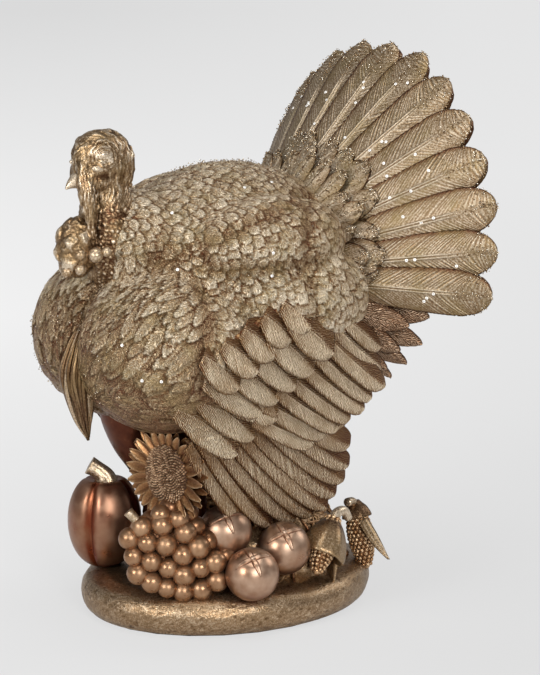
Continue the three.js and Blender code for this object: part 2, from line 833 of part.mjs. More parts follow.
function pumpkinStem() {
  const foot = pumpkinCentre.clone().add(vec(0, 0, half(PUMPKIN_HEIGHT) - 4));
  const stop = (forward, up, radius) => {
    const bend = vec(-0.57, -0.82, 0).multiplyScalar(forward * PUMPKIN_STEM_LENGTH);
    return { at: foot.clone().add(bend).add(vec(0, 0, up * PUMPKIN_STEM_LENGTH)), radius };
  };
  return limb(
    [
      stop(-0.1, 0, 1.6 * PUMPKIN_STEM_RADIUS),
      stop(0, 0.3, PUMPKIN_STEM_RADIUS),
      stop(0.3, 0.5, 0.9 * PUMPKIN_STEM_RADIUS),
      stop(0.6, 0.6, 1.15 * PUMPKIN_STEM_RADIUS),
    ],
    0,
    6,
  );
}

// Sunflower: cupped petals on a receptacle and stalk, and a domed seed disc

const flowerTurn = radians(SUNFLOWER_FACING);
const flowerFace = vec(Math.sin(flowerTurn), -Math.cos(flowerTurn), 0.04).normalize();
const flowerCentre = vec(SUNFLOWER_X, SUNFLOWER_Y, bellyZ - SUNFLOWER_BELOW_BELLY);
const flowerSide = vec(0, 0, 1).cross(flowerFace).normalize();
const flowerUp = flowerFace.clone().cross(flowerSide);
const flowerOut = (turn) =>
  flowerSide.clone().multiplyScalar(Math.cos(turn)).addScaledVector(flowerUp, Math.sin(turn));

function sunflowerDisc(grow = 0) {
  const back = flowerCentre.clone().addScaledVector(flowerFace, -2 - grow);
  const profile = [
    [0.7, 0],
    [1, 0.5],
    [0.86, 1],
    [0.5, 1.35],
  ];
  const rings = profile.map(([share, lift]) => {
    const ring = [];
    for (let i = 0; i < 14; i += 1) {
      const out = flowerOut((i / 14) * 2 * Math.PI).multiplyScalar(SUNFLOWER_DISC_RADIUS * share + grow);
      const front = back.clone().addScaledVector(flowerFace, lift * (SUNFLOWER_DISC_DOME + 2 * grow));
      ring.push(front.add(out));
    }
    return ring;
  });
  return solidFrom(loft(rings));
}

function sunflowerPetals(grow = 0) {
  const petals = [];
  for (let i = 0; i < SUNFLOWER_PETALS; i += 1) {
    const turn = (i / SUNFLOWER_PETALS) * 2 * Math.PI;
    const out = flowerOut(turn);
    const inner = 0.7 * SUNFLOWER_DISC_RADIUS;
    const reach = SUNFLOWER_RADIUS + SUNFLOWER_SIDE_EXTRA * Math.cos(turn) ** 2;
    const from = flowerCentre.clone().addScaledVector(out, inner).addScaledVector(flowerFace, -3);
    const to = flowerCentre.clone().addScaledVector(out, reach);
    to.addScaledVector(flowerFace, 2 * (i % 2));
    const options = { thickness: 3.4, grow, stations: [0, 0.6, 1], roll: 8 };
    petals.push(feather(from, to, flowerFace, SUNFLOWER_PETAL_WIDTH, options));
  }
  const behind = (depth) => flowerCentre.clone().addScaledVector(flowerFace, -depth);
  const receptacle = limb(
    [
      { at: behind(2), radius: SUNFLOWER_DISC_RADIUS },
      { at: behind(7), radius: 0.75 * SUNFLOWER_DISC_RADIUS },
      { at: behind(10), radius: 0.3 * SUNFLOWER_DISC_RADIUS },
    ],
    grow,
    10,
  );
  const foot = vec(flowerCentre.x, flowerCentre.y, PLINTH_HEIGHT - 2);
  const stalk = limb(
    [
      { at: behind(6), radius: SUNFLOWER_STALK_RADIUS },
      { at: behind(4).add(vec(0, 0, -24)), radius: SUNFLOWER_STALK_RADIUS },
      { at: foot, radius: SUNFLOWER_STALK_RADIUS },
    ],
    grow,
    6,
  );
  return join(petals, receptacle, stalk);
}

// Bunch of grapes heaped in front of the left leg

const bunchOut = vec(Math.sin(radians(BUNCH_FACING)), -Math.cos(radians(BUNCH_FACING)), 0);
const bunchSide = vec(Math.cos(radians(BUNCH_FACING)), Math.sin(radians(BUNCH_FACING)), 0);
const bunchCentre = vec(BUNCH_X, BUNCH_Y, PLINTH_HEIGHT + half(BUNCH_HEIGHT));
const bunchRows = [
  { up: -20, acrosses: [-14, -5, 5, 15, 25] },
  { up: -10, acrosses: [-23, -14, -5, 5, 15, 25] },
  { up: 1, acrosses: [-26, -15, -5, 5, 15, 24] },
  { up: 10, acrosses: [-28, -17, -5, 6, 15] },
  { up: 19, acrosses: [-20, -8, 4] },
  { up: 26, acrosses: [-9, 2] },
];

function bunchPoint(across, up) {
  const edge = (2 * across) / BUNCH_WIDTH;
  const level = (2 * up) / BUNCH_HEIGHT;
  const bulge = BUNCH_BULGE * Math.sqrt(Math.max(1 - 0.8 * edge * edge - 0.5 * level * level, 0));
  const at = bunchCentre.clone().addScaledVector(bunchSide, across).addScaledVector(bunchOut, bulge);
  return at.add(vec(0, 0, up));
}

function grapeBunch(grow = 0) {
  const heartSize = vec(0.95 * BUNCH_WIDTH, 2 * BUNCH_BULGE, BUNCH_HEIGHT + GRAPE_RADIUS);
  const heart = ellipsoid(bunchCentre, heartSize, grow, 8, BUNCH_FACING);
  const grapes = [];
  for (const { up, acrosses } of bunchRows) {
    for (const across of acrosses) {
      grapes.push(ball(bunchPoint(across, up), GRAPE_RADIUS, grow, 6));
    }
  }
  return join(heart, grapes);
}

function grapeStalk() {
  const foot = bunchPoint(-0.3 * BUNCH_WIDTH, 0.38 * BUNCH_HEIGHT);
  return peg(foot, vec(-0.4, -0.55, 0.73), GRAPE_STALK_LENGTH, GRAPE_STALK_RADIUS);
}

// Three round fruits, each with a raised four-leaf calyx

const frontFruit = vec(FRONT_FRUIT_X, FRONT_FRUIT_Y, PLINTH_HEIGHT + FRUIT_RADIUS - 2.5);
const fruitLean = vec(-0.754, -0.084, 0.652).normalize();
const upperFruit = frontFruit.clone().addScaledVector(fruitLean, 2 * FRUIT_RADIUS + GLUE_GAP);
const sideFruit = vec(SIDE_FRUIT_X, SIDE_FRUIT_Y, PLINTH_HEIGHT + FRUIT_RADIUS + SIDE_FRUIT_RISE);
const calyxAxis = vec(0.42, -0.25, 0.87).normalize();

function fruitForm(centre, grow = 0) {
  const across = 2 * FRUIT_RADIUS;
  const flesh = ellipsoid(centre, vec(across, across, 0.98 * across), grow, SMALL_ROUND);
  const side = vec(0, 0, 1).cross(calyxAxis).normalize();
  const options = { thickness: 3.6, grow, stations: [0, 1], widest: 0.9 };
  const leaves = [0, 90, 180, 270].map((degrees) => {
    const out = side.clone().applyAxisAngle(calyxAxis, radians(degrees));
    const from = centre.clone().addScaledVector(calyxAxis, FRUIT_RADIUS - 0.5);
    const along = calyxAxis.clone().multiplyScalar(Math.cos(CALYX_LEAF_LENGTH / FRUIT_RADIUS));
    along.addScaledVector(out, Math.sin(CALYX_LEAF_LENGTH / FRUIT_RADIUS));
    const to = centre.clone().addScaledVector(along, FRUIT_RADIUS - 0.2);
    return feather(from, to, calyxAxis, CALYX_LEAF_WIDTH, options);
  });
  return join(flesh, leaves);
}

// Corn: cobs with kernel rows, each in a flared husk

const frontCob = {
  tip: vec(FRONT_COB_X, FRONT_COB_Y, PLINTH_HEIGHT + 6),
  along: vec(-0.29, 0.56, 0.78).normalize(),
  mouth: 0.4,
  stalk: [
    [0, 0, -2],
    [-2, 5, 4],
    [-4, 12, 4],
    [-6, 17, -2],
  ],
};
const rearCob = {
  tip: vec(REAR_COB_X, REAR_COB_Y, PLINTH_HEIGHT - 6),
  along: vec(-0.2, -0.08, 0.97).normalize(),
  mouth: 0.78,
  stalk: [
    [0, 0, -2],
    [-1, -1, 3],
    [-3, -1, 8],
  ],
};

const cobPoint = (cob, share) => cob.tip.clone().addScaledVector(cob.along, share * COB_LENGTH);

function cobFrame(cob) {
  const side = vec(0, 0, 1).cross(cob.along).normalize();
  return { side, other: cob.along.clone().cross(side) };
}

function cobForm(cob, grow = 0) {
  const { side, other } = cobFrame(cob);
  const shares = [0, 0.06, 0.2, 0.34, 0.48, 0.62, 0.76, 0.9, 1];
  const rings = shares.map((share, level) => {
    const body = Math.sin(Math.PI * (0.12 + 0.7 * share)) * (level === 0 ? 0.6 : 1);
    const ring = [];
    for (let i = 0; i < 2 * COB_ROWS; i += 1) {
      const turn = (i / (2 * COB_ROWS)) * 2 * Math.PI;
      const groove = (i + level) % 2 === 0 ? 0 : KERNEL_DEPTH;
      const radius = COB_RADIUS * body - groove + grow;
      const out = side.clone().multiplyScalar(Math.cos(turn) * radius);
      out.addScaledVector(other, Math.sin(turn) * radius);
      const lift = level === 0 ? -grow : level === shares.length - 1 ? grow : 0;
      ring.push(cobPoint(cob, share).addScaledVector(cob.along, lift).add(out));
    }
    return ring;
  });
  return solidFrom(loft(rings));
}

function huskForm(cob, leafTurns, grow = 0) {
  const { side, other } = cobFrame(cob);
  const stub = limb(
    [
      { at: cobPoint(cob, cob.mouth), radius: COB_RADIUS + HUSK_THICKNESS },
      { at: cobPoint(cob, 0.8), radius: 0.85 * COB_RADIUS + HUSK_THICKNESS },
      { at: cobPoint(cob, 1), radius: 0.6 * COB_RADIUS + HUSK_THICKNESS },
      { at: cobPoint(cob, 1.2), radius: half(COB_RADIUS) },
    ],
    grow,
    10,
  );
  const options = { thickness: HUSK_THICKNESS, curl: 0.1, root: 0.6, stations: [0, 0.6, 1], grow };
  const leaves = leafTurns.map(({ turn, reach, flare }) => {
    const out = side.clone().multiplyScalar(Math.cos(radians(turn)));
    out.addScaledVector(other, Math.sin(radians(turn)));
    const from = cobPoint(cob, 1.05).addScaledVector(out, 0.4 * COB_RADIUS);
    const to = from.clone().addScaledVector(cob.along, -reach * HUSK_LENGTH).addScaledVector(out, flare);
    return feather(from, to, out, HUSK_WIDTH, options);
  });
  const butt = cobPoint(cob, 1.12);
  const stalk = limb(
    cob.stalk.map(([x, y, z]) => ({ at: butt.clone().add(vec(x, y, z)), radius: CORN_STALK_RADIUS })),
    grow,
    8,
  );
  return join(stub, leaves, stalk);
}

const frontHuskLeaves = [
  { turn: 20, reach: 0.8, flare: 12 },
  { turn: 250, reach: 0.95, flare: 9 },
];
const rearHuskLeaves = [
  { turn: 70, reach: 0.85, flare: 17 },
  { turn: 200, reach: 0.6, flare: 12 },
];

// Assembly

const paint = (color, roughness, metalness) =>
  new THREE.MeshStandardMaterial({ color, roughness, metalness });
const plumagePaint = () => paint(0x9c8355, 0.42, 0.7);
const skinPaint = () => paint(0x94794c, 0.42, 0.7);
const copperPaint = () => paint(0xa8744c, 0.36, 0.75);
const grapePaint = () => paint(0xa98a5f, 0.34, 0.75);
const basePaint = () => paint(0x94774a, 0.4, 0.75);
const cornPaint = () => paint(0xb08a52, 0.38, 0.7);

function piece(name, solid, material) {
  const mesh = new THREE.Mesh(geometryFrom(mainBody(solid)), material);
  mesh.name = name;
  return mesh;
}

const figure = new THREE.Group();
figure.name = "turkey_figure";
const stand = new THREE.Group();
const bird = new THREE.Group();
const harvest = new THREE.Group();
figure.add(stand, bird, harvest);

const bodySeat = bodyForm(GLUE_GAP);
const groundSeat = join(groundForm(GLUE_GAP));
const bothSides = (solids) => [...solids, ...solids.map(flipped)];

const feltPiece = feltSolid();
const plinthPegs = [...legPegs(1, GLUE_GAP), ...legPegs(-1, GLUE_GAP)];
const basePiece = cut(join(groundForm(0)), plinthHollow(), plinthPegs);
stand.add(piece("felt_pad", feltPiece, paint(0x3a3229, 0.95, 0)));
stand.add(piece("base_plinth", basePiece, basePaint()));

const bodySockets = [
  tailPeg(GLUE_GAP),
  neckPeg(GLUE_GAP),
  beardPeg(GLUE_GAP),
  ...plinthPegs,
  ...bothSides([...wingPegs(GLUE_GAP), ...skirtPegs(GLUE_GAP)]),
];
bird.add(piece("body", cut(bodyForm(0), bodyHollow(), bodySockets), plumagePaint()));

const headPiece = join(mainBody(cut(headForm(), bodySeat)), neckPeg(0));
bird.add(piece("neck_and_head", headPiece, skinPaint()));
bird.add(piece("beard", join(mainBody(cut(beardForm(), bodySeat)), beardPeg(0)), skinPaint()));

const pumpkinSeat = pumpkinForm(GLUE_GAP);
for (const [name, side] of [
  ["left_leg", 1],
  ["right_leg", -1],
]) {
  const leg = mainBody(cut(legForm(side), bodySeat, groundSeat, pumpkinSeat));
  bird.add(piece(name, join(leg, legPegs(side, 0)), copperPaint()));
}
const legSeats = [legForm(1, GLUE_GAP), legForm(-1, GLUE_GAP)];

const fruits = [
  ["upper_fruit", upperFruit],
  ["front_fruit", frontFruit],
  ["side_fruit", sideFruit],
];
const fruitSeats = fruits.map(([, centre]) => fruitForm(centre, GLUE_GAP));

const upperPiece = join(mainBody(cut(upperWing(), bodySeat)), wingPegs(0));
const upperSeat = upperWing(GLUE_GAP);
const lowerNeighbours = [bodySeat, upperSeat, groundSeat, fruitSeats];
const lowerPiece = (first) =>
  join(mainBody(cut(lowerWing(0, first), ...lowerNeighbours)), skirtPegs(0));
const lowerSeat = lowerWing(GLUE_GAP);
for (const [side, mirror, first] of [
  ["left", 1, 0],
  ["right", -1, RIGHT_PRIMARIES_LESS],
]) {
  const tiers = [
    piece(side + "_wing_coverts", upperPiece, plumagePaint()),
    piece(side + "_wing_primaries", lowerPiece(first), plumagePaint()),
  ];
  for (const tier of tiers) {
    tier.scale.x = mirror;
    bird.add(tier);
  }
}
const wingSeats = bothSides([upperSeat, lowerSeat]);

const fanPiece = join(mainBody(cut(tailFan(), bodySeat, wingSeats)), tailPeg(0));
bird.add(piece("tail_fan", fanPiece, plumagePaint()));
const fanSeat = tailFan(GLUE_GAP);
bird.add(piece("tail_coverts", cut(tailCoverts(), bodySeat, fanSeat, wingSeats), plumagePaint()));
const covertSeat = tailCoverts(GLUE_GAP);
const undertailPiece = cut(undertail(), bodySeat, fanSeat, covertSeat, wingSeats);
bird.add(piece("undertail_coverts", undertailPiece, plumagePaint()));

harvest.add(piece("pumpkin", cut(pumpkinForm(), groundSeat), copperPaint()));
harvest.add(piece("pumpkin_stem", cut(pumpkinStem(), pumpkinSeat, legSeats), skinPaint()));
for (const [name, centre] of fruits) {
  harvest.add(piece(name, cut(fruitForm(centre), groundSeat), copperPaint()));
}
const discSeat = sunflowerDisc(GLUE_GAP);
harvest.add(piece("sunflower_disc", cut(sunflowerDisc(), bodySeat, legSeats), copperPaint()));
const flowerNeighbours = [bodySeat, groundSeat, legSeats, wingSeats, fruitSeats, pumpkinSeat];
const petalPiece = cut(sunflowerPetals(), discSeat, ...flowerNeighbours);
harvest.add(piece("sunflower_petals", petalPiece, skinPaint()));
const flowerSeat = sunflowerPetals(GLUE_GAP);
const bunchNeighbours = [groundSeat, legSeats, fruitSeats, pumpkinSeat, flowerSeat, discSeat];
harvest.add(piece("grape_bunch", cut(grapeBunch(), ...bunchNeighbours), grapePaint()));
const bunchSeat = grapeBunch(GLUE_GAP);
const stalkPiece = cut(grapeStalk(), bunchSeat, flowerSeat, discSeat, legSeats);
harvest.add(piece("grape_stalk", stalkPiece, skinPaint()));

const cobNeighbours = [groundSeat, fruitSeats, wingSeats];
const cobs = [
  ["front", frontCob, frontHuskLeaves],
  ["rear", rearCob, rearHuskLeaves],
];
const cobSeats = cobs.map(([, cob]) => cobForm(cob, GLUE_GAP));
const huskSeats = [];
for (const [name, cob, leaves] of cobs) {
  harvest.add(piece("corn_cob_" + name, cut(cobForm(cob), ...cobNeighbours), cornPaint()));
  const husk = cut(huskForm(cob, leaves), cobSeats, ...cobNeighbours, huskSeats);
  harvest.add(piece("corn_husk_" + name, husk, skinPaint()));
  huskSeats.push(huskForm(cob, leaves, GLUE_GAP));
}

export default figure;
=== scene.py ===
"""A harvest turkey table figure: painted resin castings with glitter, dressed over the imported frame.

Lengths are in millimetres until a piece is made. The bird faces -Y and its left side is +X.
"""
import math
from dataclasses import dataclass, replace

import bpy
import numpy as np
from mathutils import Matrix, Vector, noise
from mathutils.kdtree import KDTree


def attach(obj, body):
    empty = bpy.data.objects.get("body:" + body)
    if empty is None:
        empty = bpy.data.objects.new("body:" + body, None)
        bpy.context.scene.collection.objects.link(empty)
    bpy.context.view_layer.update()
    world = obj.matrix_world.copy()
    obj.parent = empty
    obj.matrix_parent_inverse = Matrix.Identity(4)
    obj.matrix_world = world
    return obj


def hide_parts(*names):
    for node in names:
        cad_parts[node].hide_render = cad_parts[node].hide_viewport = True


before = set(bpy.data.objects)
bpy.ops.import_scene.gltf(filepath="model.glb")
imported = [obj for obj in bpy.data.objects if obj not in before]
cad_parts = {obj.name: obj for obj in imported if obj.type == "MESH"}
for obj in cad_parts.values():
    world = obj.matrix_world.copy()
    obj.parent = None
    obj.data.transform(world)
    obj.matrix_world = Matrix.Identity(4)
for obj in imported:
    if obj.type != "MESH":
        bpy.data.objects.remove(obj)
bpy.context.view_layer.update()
random = np.random.default_rng(27)

MM = 0.001
TURN = 2 * math.pi
GOLDEN_ANGLE = 2.39996
UP = np.array([0.0, 0.0, 1.0])

# Places and half sizes of the castings
BODY_FORMS = [
    ((0, -2, 197), (70, 92, 82)),
    ((22, -56, 177), (59, 59, 53)),
    ((-22, -56, 177), (59, 59, 53)),
    ((46, 0, 236), (29, 54, 30)),
    ((-46, 0, 236), (29, 54, 30)),
    ((56, 12, 200), (24, 54, 36)),
    ((-56, 12, 200), (24, 54, 36)),
]
PLINTH_HALF = (79, 95)
PLINTH_TOP = 25
PLINTH_CROWN = 3
PLINTH_SHOULDER = 14
FELT = 1.5
MOUND_HALF = (59, 60)
MOUND_Y = 18
MOUND_FOOT = 23
MOUND_TOP = 68
MOUND_LUMP = 3
HEAD = np.array([0.0, -88.0, 287.0])
WATTLE = np.array([1.0, -20.5, -47.0])
WATTLE_HALF = (13, 13, 19)
BEARD_ROOT = np.array([0.0, -107.0, 187.0])
BEARD_LENGTH = 68
TAIL_CENTRE = np.array([0.0, 47.5, 209.0])
TAIL_TILT = math.radians(1)
TAIL_STEP = 13.2
TAIL_ROOT = 45
TAIL_SWEEP = 42
TAIL_LENGTH = 102
# Radius and distance back of the rings round the hub that holds the tail
TAIL_HUB = ((45, 1.2), (58, 13), (68, 22), (66, 34), (58, 51.5), (30, 54))
WING = np.array([74.0, -2.0, 197.0])
PUMPKIN = np.array([-37.0, -66.0, 54.0])
PUMPKIN_RADIUS = 22.5
PUMPKIN_HALF_HEIGHT = 30
PUMPKIN_TURN = math.radians(-58)
FLOWER = np.array([32.0, -63.0, 99.0])
FLOWER_DISC = 17.5
FLOWER_TURN = math.radians(8)
BUNCH = np.array([37.0, -62.0, 49.0])
BUNCH_FACING = math.radians(55)
GRAPE_RADIUS = 6.8
FRUITS = {
    "front_fruit": np.array([71.0, -29.0, 39.0]),
    "upper_fruit": np.array([46.0, -31.8, 60.6]),
    "side_fruit": np.array([59.0, 3.0, 47.0]),
}
FRUIT_RADIUS = 16.5
COB_LENGTH = 37
COB_RADIUS = 7.6

# Grapes on the bunch: across it and up it from its middle
GRAPES = [
    (-9, 27), (2, 24.5), (-20.5, 19), (-8, 21), (6, 16.5), (-28, 11.5), (-17, 10), (-5.5, 9),
    (14, 7.5), (-25.5, 1), (-14.5, -1.5), (4.5, 3), (24, -2.5), (-4.5, -5.5), (15, -5.5), (-23, -10),
    (-14.5, -15), (5, -10), (25, -15), (-5, -18.5), (4.5, -21), (15.5, -20),
]


# Small helpers


def unit(v):
    v = np.asarray(v, float)
    return v / np.linalg.norm(v)


def units(rows):
    return rows / np.linalg.norm(rows, axis=1)[:, None]


def along_skin(directions, normals):
    """Directions laid down on a skin."""
    return units(directions - normals * (directions * normals).sum(1)[:, None])


def ease(low, high, x):
    """0 below low, 1 above high and a smooth step between."""
    t = np.clip((np.asarray(x, float) - low) / (high - low), 0, 1)
    return t * t * (3 - 2 * t)


def blend(a, b, t):
    return a + (b - a) * t


def cloud(points):
    """Smooth noise between about -1 and 1, with features about one unit across."""
    return np.array([noise.noise(Vector(p)) for p in points])


def pebbles(points):
    """0 at the joints between pebbles about one unit across and 1 on their tops."""
    near = np.array([noise.voronoi(Vector(p))[0][:2] for p in points])
    return np.clip((near[:, 1] - near[:, 0]) * 1.6, 0, 1)


def turned(v, axis, angle):
    return np.array(Matrix.Rotation(angle, 3, Vector(axis)) @ Vector(v))


def ring(count, side, other):
    """Directions spread evenly round a circle."""
    angles = np.arange(count) / count * TURN
    return np.cos(angles)[:, None] * side + np.sin(angles)[:, None] * other


def clock_hand(angle, side, other):
    """One direction at an angle from a side."""
    return side * math.cos(angle) + other * math.sin(angle)


def square_to(axis):
    """A level direction square to an axis, and the one square to both."""
    side = unit(np.cross(UP, axis))
    return side, np.cross(axis, side)


def oval(half_x, half_y, turns, height):
    """A level ring of places."""
    return np.stack([half_x * np.cos(turns), half_y * np.sin(turns), np.full(len(turns), height)], 1)


def smooth_random(count, reach, low, high):
    """Random values that change slowly from one to the next."""
    values = random.uniform(-1, 1, count + 2 * reach)
    window = np.hanning(2 * reach + 1)
    soft = np.convolve(values, window / np.sqrt((window**2).sum()), "valid")
    return blend(low, high, np.clip(0.5 + 0.5 * soft, 0, 1))


def spline(stops, count):
    """Rows spread along a smooth curve through the stops, for any number of columns."""
    stops = np.asarray(stops, float)
    before = 2 * stops[:1] - stops[1:2]
    after = 2 * stops[-1:] - stops[-2:-1]
    padded = np.concatenate([before, stops, after])
    t = np.linspace(0, len(stops) - 1, count)
    i = np.minimum(t.astype(int), len(stops) - 2)
    f = (t - i)[:, None]
    a, b, c, d = padded[i], padded[i + 1], padded[i + 2], padded[i + 3]
    bend = (2 * a - 5 * b + 4 * c - d) * f**2 + (3 * b - a - 3 * c + d) * f**3
    return 0.5 * (2 * b + (c - a) * f + bend)


# Shapes: points, faces and the values that the paint reads


class Shape:
    """Gathers closed forms. Lift is 0 in a crevice and 1 on a ridge, and is lowered for painted shade
    and raised for painted highlights. Vane is a place on a feather.
    """

    def __init__(self):
        self.points = []
        self.faces = []
        self.lift = []
        self.vane = []
        self.count = 0

    def add(self, points, faces, lift=0.6, vane=None):
        points = np.asarray(points, float).reshape(-1, 3)
        total = len(points)
        self.points.append(points)
        self.faces.extend(np.asarray(block) + self.count for block in faces)
        self.lift.append(np.broadcast_to(np.asarray(lift, float), total))
        self.vane.append(np.zeros((total, 3)) if vane is None else vane)
        self.count += total

    def mirrored(self):
        other = Shape()
        other.points = [block * (-1, 1, 1) for block in self.points]
        other.faces = [block[:, ::-1] for block in self.faces]
        other.lift = self.lift
        other.vane = self.vane
        other.count = self.count
        return other


def sheet(index):
    """Four-sided faces over a grid of point numbers."""
    corners = [index[:-1, :-1], index[:-1, 1:], index[1:, 1:], index[1:, :-1]]
    return np.stack(corners, -1).reshape(-1, 4)


def loft(shape, rings, lift=0.6):
    """A closed skin over rings of equal counts, each end closed by a fan."""
    rings = np.asarray(rings, float)
    levels, count = rings.shape[:2]
    index = np.arange(levels * count).reshape(levels, count)
    index = np.concatenate([index, index[:, :1]], 1)
    ends = np.stack([rings[0].mean(0), rings[-1].mean(0)])
    first = np.stack([np.full(count, levels * count), index[0, 1:], index[0, :-1]], 1)
    last = np.stack([np.full(count, levels * count + 1), index[-1, :-1], index[-1, 1:]], 1)
    values = np.broadcast_to(np.asarray(lift, float), (levels, count))
    values = np.concatenate([values.ravel(), [values[0].mean(), values[-1].mean()]])
    shape.add(np.concatenate([rings.reshape(-1, 3), ends]), [sheet(index), first, last], values)


def grid(columns, rows):
    """Shares across a leaf, from -1 to 1, and along it, from 0 to 1."""
    return np.linspace(-1, 1, columns)[None, :], np.linspace(0, 1, rows)[:, None]


def leaf(shape, upper, up, depth, lift, vane=None):
    """A closed leaf: a top sheet, and an underside drawn from its rim to one middle line."""
    rows = upper.shape[0] - 1
    columns = upper.shape[1] - 1
    top = np.arange((rows + 1) * (columns + 1)).reshape(rows + 1, columns + 1)
    spine = top.size + np.arange(rows - 1)
    left = top[:, 0]
    right = top[:, -1]
    quads = [
        sheet(top),
        np.stack([left[1:-2], left[2:-1], spine[1:], spine[:-1]], 1),
        np.stack([right[2:-1], right[1:-2], spine[:-1], spine[1:]], 1),
    ]
    near = np.full(columns, spine[0])
    far = np.full(columns, spine[-1])
    ends = [
        np.stack([top[0, 1:], top[0, :-1], near], 1),
        np.stack([top[-1, :-1], top[-1, 1:], far], 1),
        np.array([[left[0], left[1], spine[0]], [right[1], right[0], spine[0]]]),
        np.array([[left[-2], left[-1], spine[-1]], [right[-1], right[-2], spine[-1]]]),
    ]
    middle = columns // 2
    below = upper[1:-1, middle] - up * depth
    points = np.concatenate([upper.reshape(-1, 3), below])
    values = np.concatenate([np.broadcast_to(lift, upper.shape[:2]).ravel(), np.full(rows - 1, 0.25)])
    drawn = None
    if vane is not None:
        drawn = np.concatenate([vane.reshape(-1, 3), vane[1:-1, middle]])
    shape.add(points, quads + ends, values, drawn)


def tube(shape, path, radii, around=12, lift=0.6, groove=None):
    """A round limb along a path. Groove scales the radius by the angle round the limb."""
    path = np.asarray(path, float)
    radii = np.broadcast_to(np.asarray(radii, float), len(path))
    tangents = np.gradient(path, axis=0)
    side = np.cross(tangents[0], (0.31, 0.95, 0.05))
    scale = np.ones(around) if groove is None else groove(np.arange(around) / around * TURN)
    rings = []
    for place, tangent, radius in zip(path, tangents, radii):
        along = unit(tangent)
        side = unit(side - along * side.dot(along))
        out = ring(around, side, np.cross(along, side))
        rings.append(place + radius * scale[:, None] * out)
    loft(shape, rings, lift)


def limb(shape, stops, radii, count, around, lift=0.6, groove=None):
    """A tube along smooth curves through its stops and their radii."""
    smooth = spline([[radius] for radius in radii], count)[:, 0]
    tube(shape, spline(stops, count), smooth, around, lift, groove)


def ball(shape, centre, radii, around=16, lift=0.6, axis=UP):
    """An ellipsoid whose third radius lies along the axis."""
    radii = np.broadcast_to(np.asarray(radii, float), 3)
    axis = unit(axis)
    side = unit(np.cross((0, 1, 0) if abs(axis[1]) < 0.9 else UP, axis))
    other = np.cross(axis, side)
    angles = np.arange(around) / around * TURN
    flat = radii[0] * np.cos(angles)[:, None] * side + radii[1] * np.sin(angles)[:, None] * other
    rings = []
    for level in np.radians(np.linspace(-86, 86, max(around // 2, 5))):
        rings.append(np.asarray(centre) + math.cos(level) * flat + radii[2] * math.sin(level) * axis)
    loft(shape, rings, lift)


def added(name, data):
    """A new object in the scene."""
    thing = bpy.data.objects.new(name, data)
    bpy.context.scene.collection.objects.link(thing)
    return thing


def mesh_of(name, shape):
    mesh = bpy.data.meshes.new(name)
    faces = [face for block in shape.faces for face in block.tolist()]
    mesh.from_pydata((np.concatenate(shape.points) * MM).tolist(), [], faces)
    return mesh


def fused(forms, voxel, rounds):
    """One smooth skin round overlapping forms: its points, faces and normals."""
    mesh = mesh_of("forms", forms)
    thing = added("forms", mesh)
    skin = thing.modifiers.new("skin", "REMESH")
    skin.mode = "VOXEL"
    skin.voxel_size = voxel * MM
    soften = thing.modifiers.new("soften", "SMOOTH")
    soften.factor = 0.5
    soften.iterations = rounds
    bpy.context.view_layer.update()
    shown = thing.evaluated_get(bpy.context.evaluated_depsgraph_get())
    made = shown.to_mesh()
    points = np.empty(3 * len(made.vertices))
    made.vertices.foreach_get("co", points)
    normals = np.empty(3 * len(made.vertices))
    made.vertices.foreach_get("normal", normals)
    corners = np.array([face.vertices[:] for face in made.polygons])
    shown.to_mesh_clear()
    bpy.data.objects.remove(thing)
    bpy.data.meshes.remove(mesh)
    return points.reshape(-1, 3) / MM, corners, normals.reshape(-1, 3)


def piece(name, shape, material, slot, *nodes):
    """A finished object on the figure, standing for the CAD nodes named."""
    mesh = mesh_of(name, shape)
    mesh.polygons.foreach_set("use_smooth", np.ones(len(mesh.polygons), bool))
    lift = mesh.attributes.new("lift", "FLOAT", "POINT")
    lift.data.foreach_set("value", np.concatenate(shape.lift))
    vane = mesh.attributes.new("vane", "FLOAT_VECTOR", "POINT")
    vane.data.foreach_set("vector", np.concatenate(shape.vane).ravel())
    mesh.materials.append(material)
    mesh.update()
    thing = added(name, mesh)
    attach(thing, "root")
    if nodes:
        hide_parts(*nodes)


# Paint


def colour(red, green, blue):
    """A picture colour from 0 to 255 as the linear colour of a shader."""
    parts = []
    for value in (red, green, blue):
        share = value / 255
        parts.append(share / 12.92 if share <= 0.04045 else ((share + 0.055) / 1.055) ** 2.4)
    return (*parts, 1)


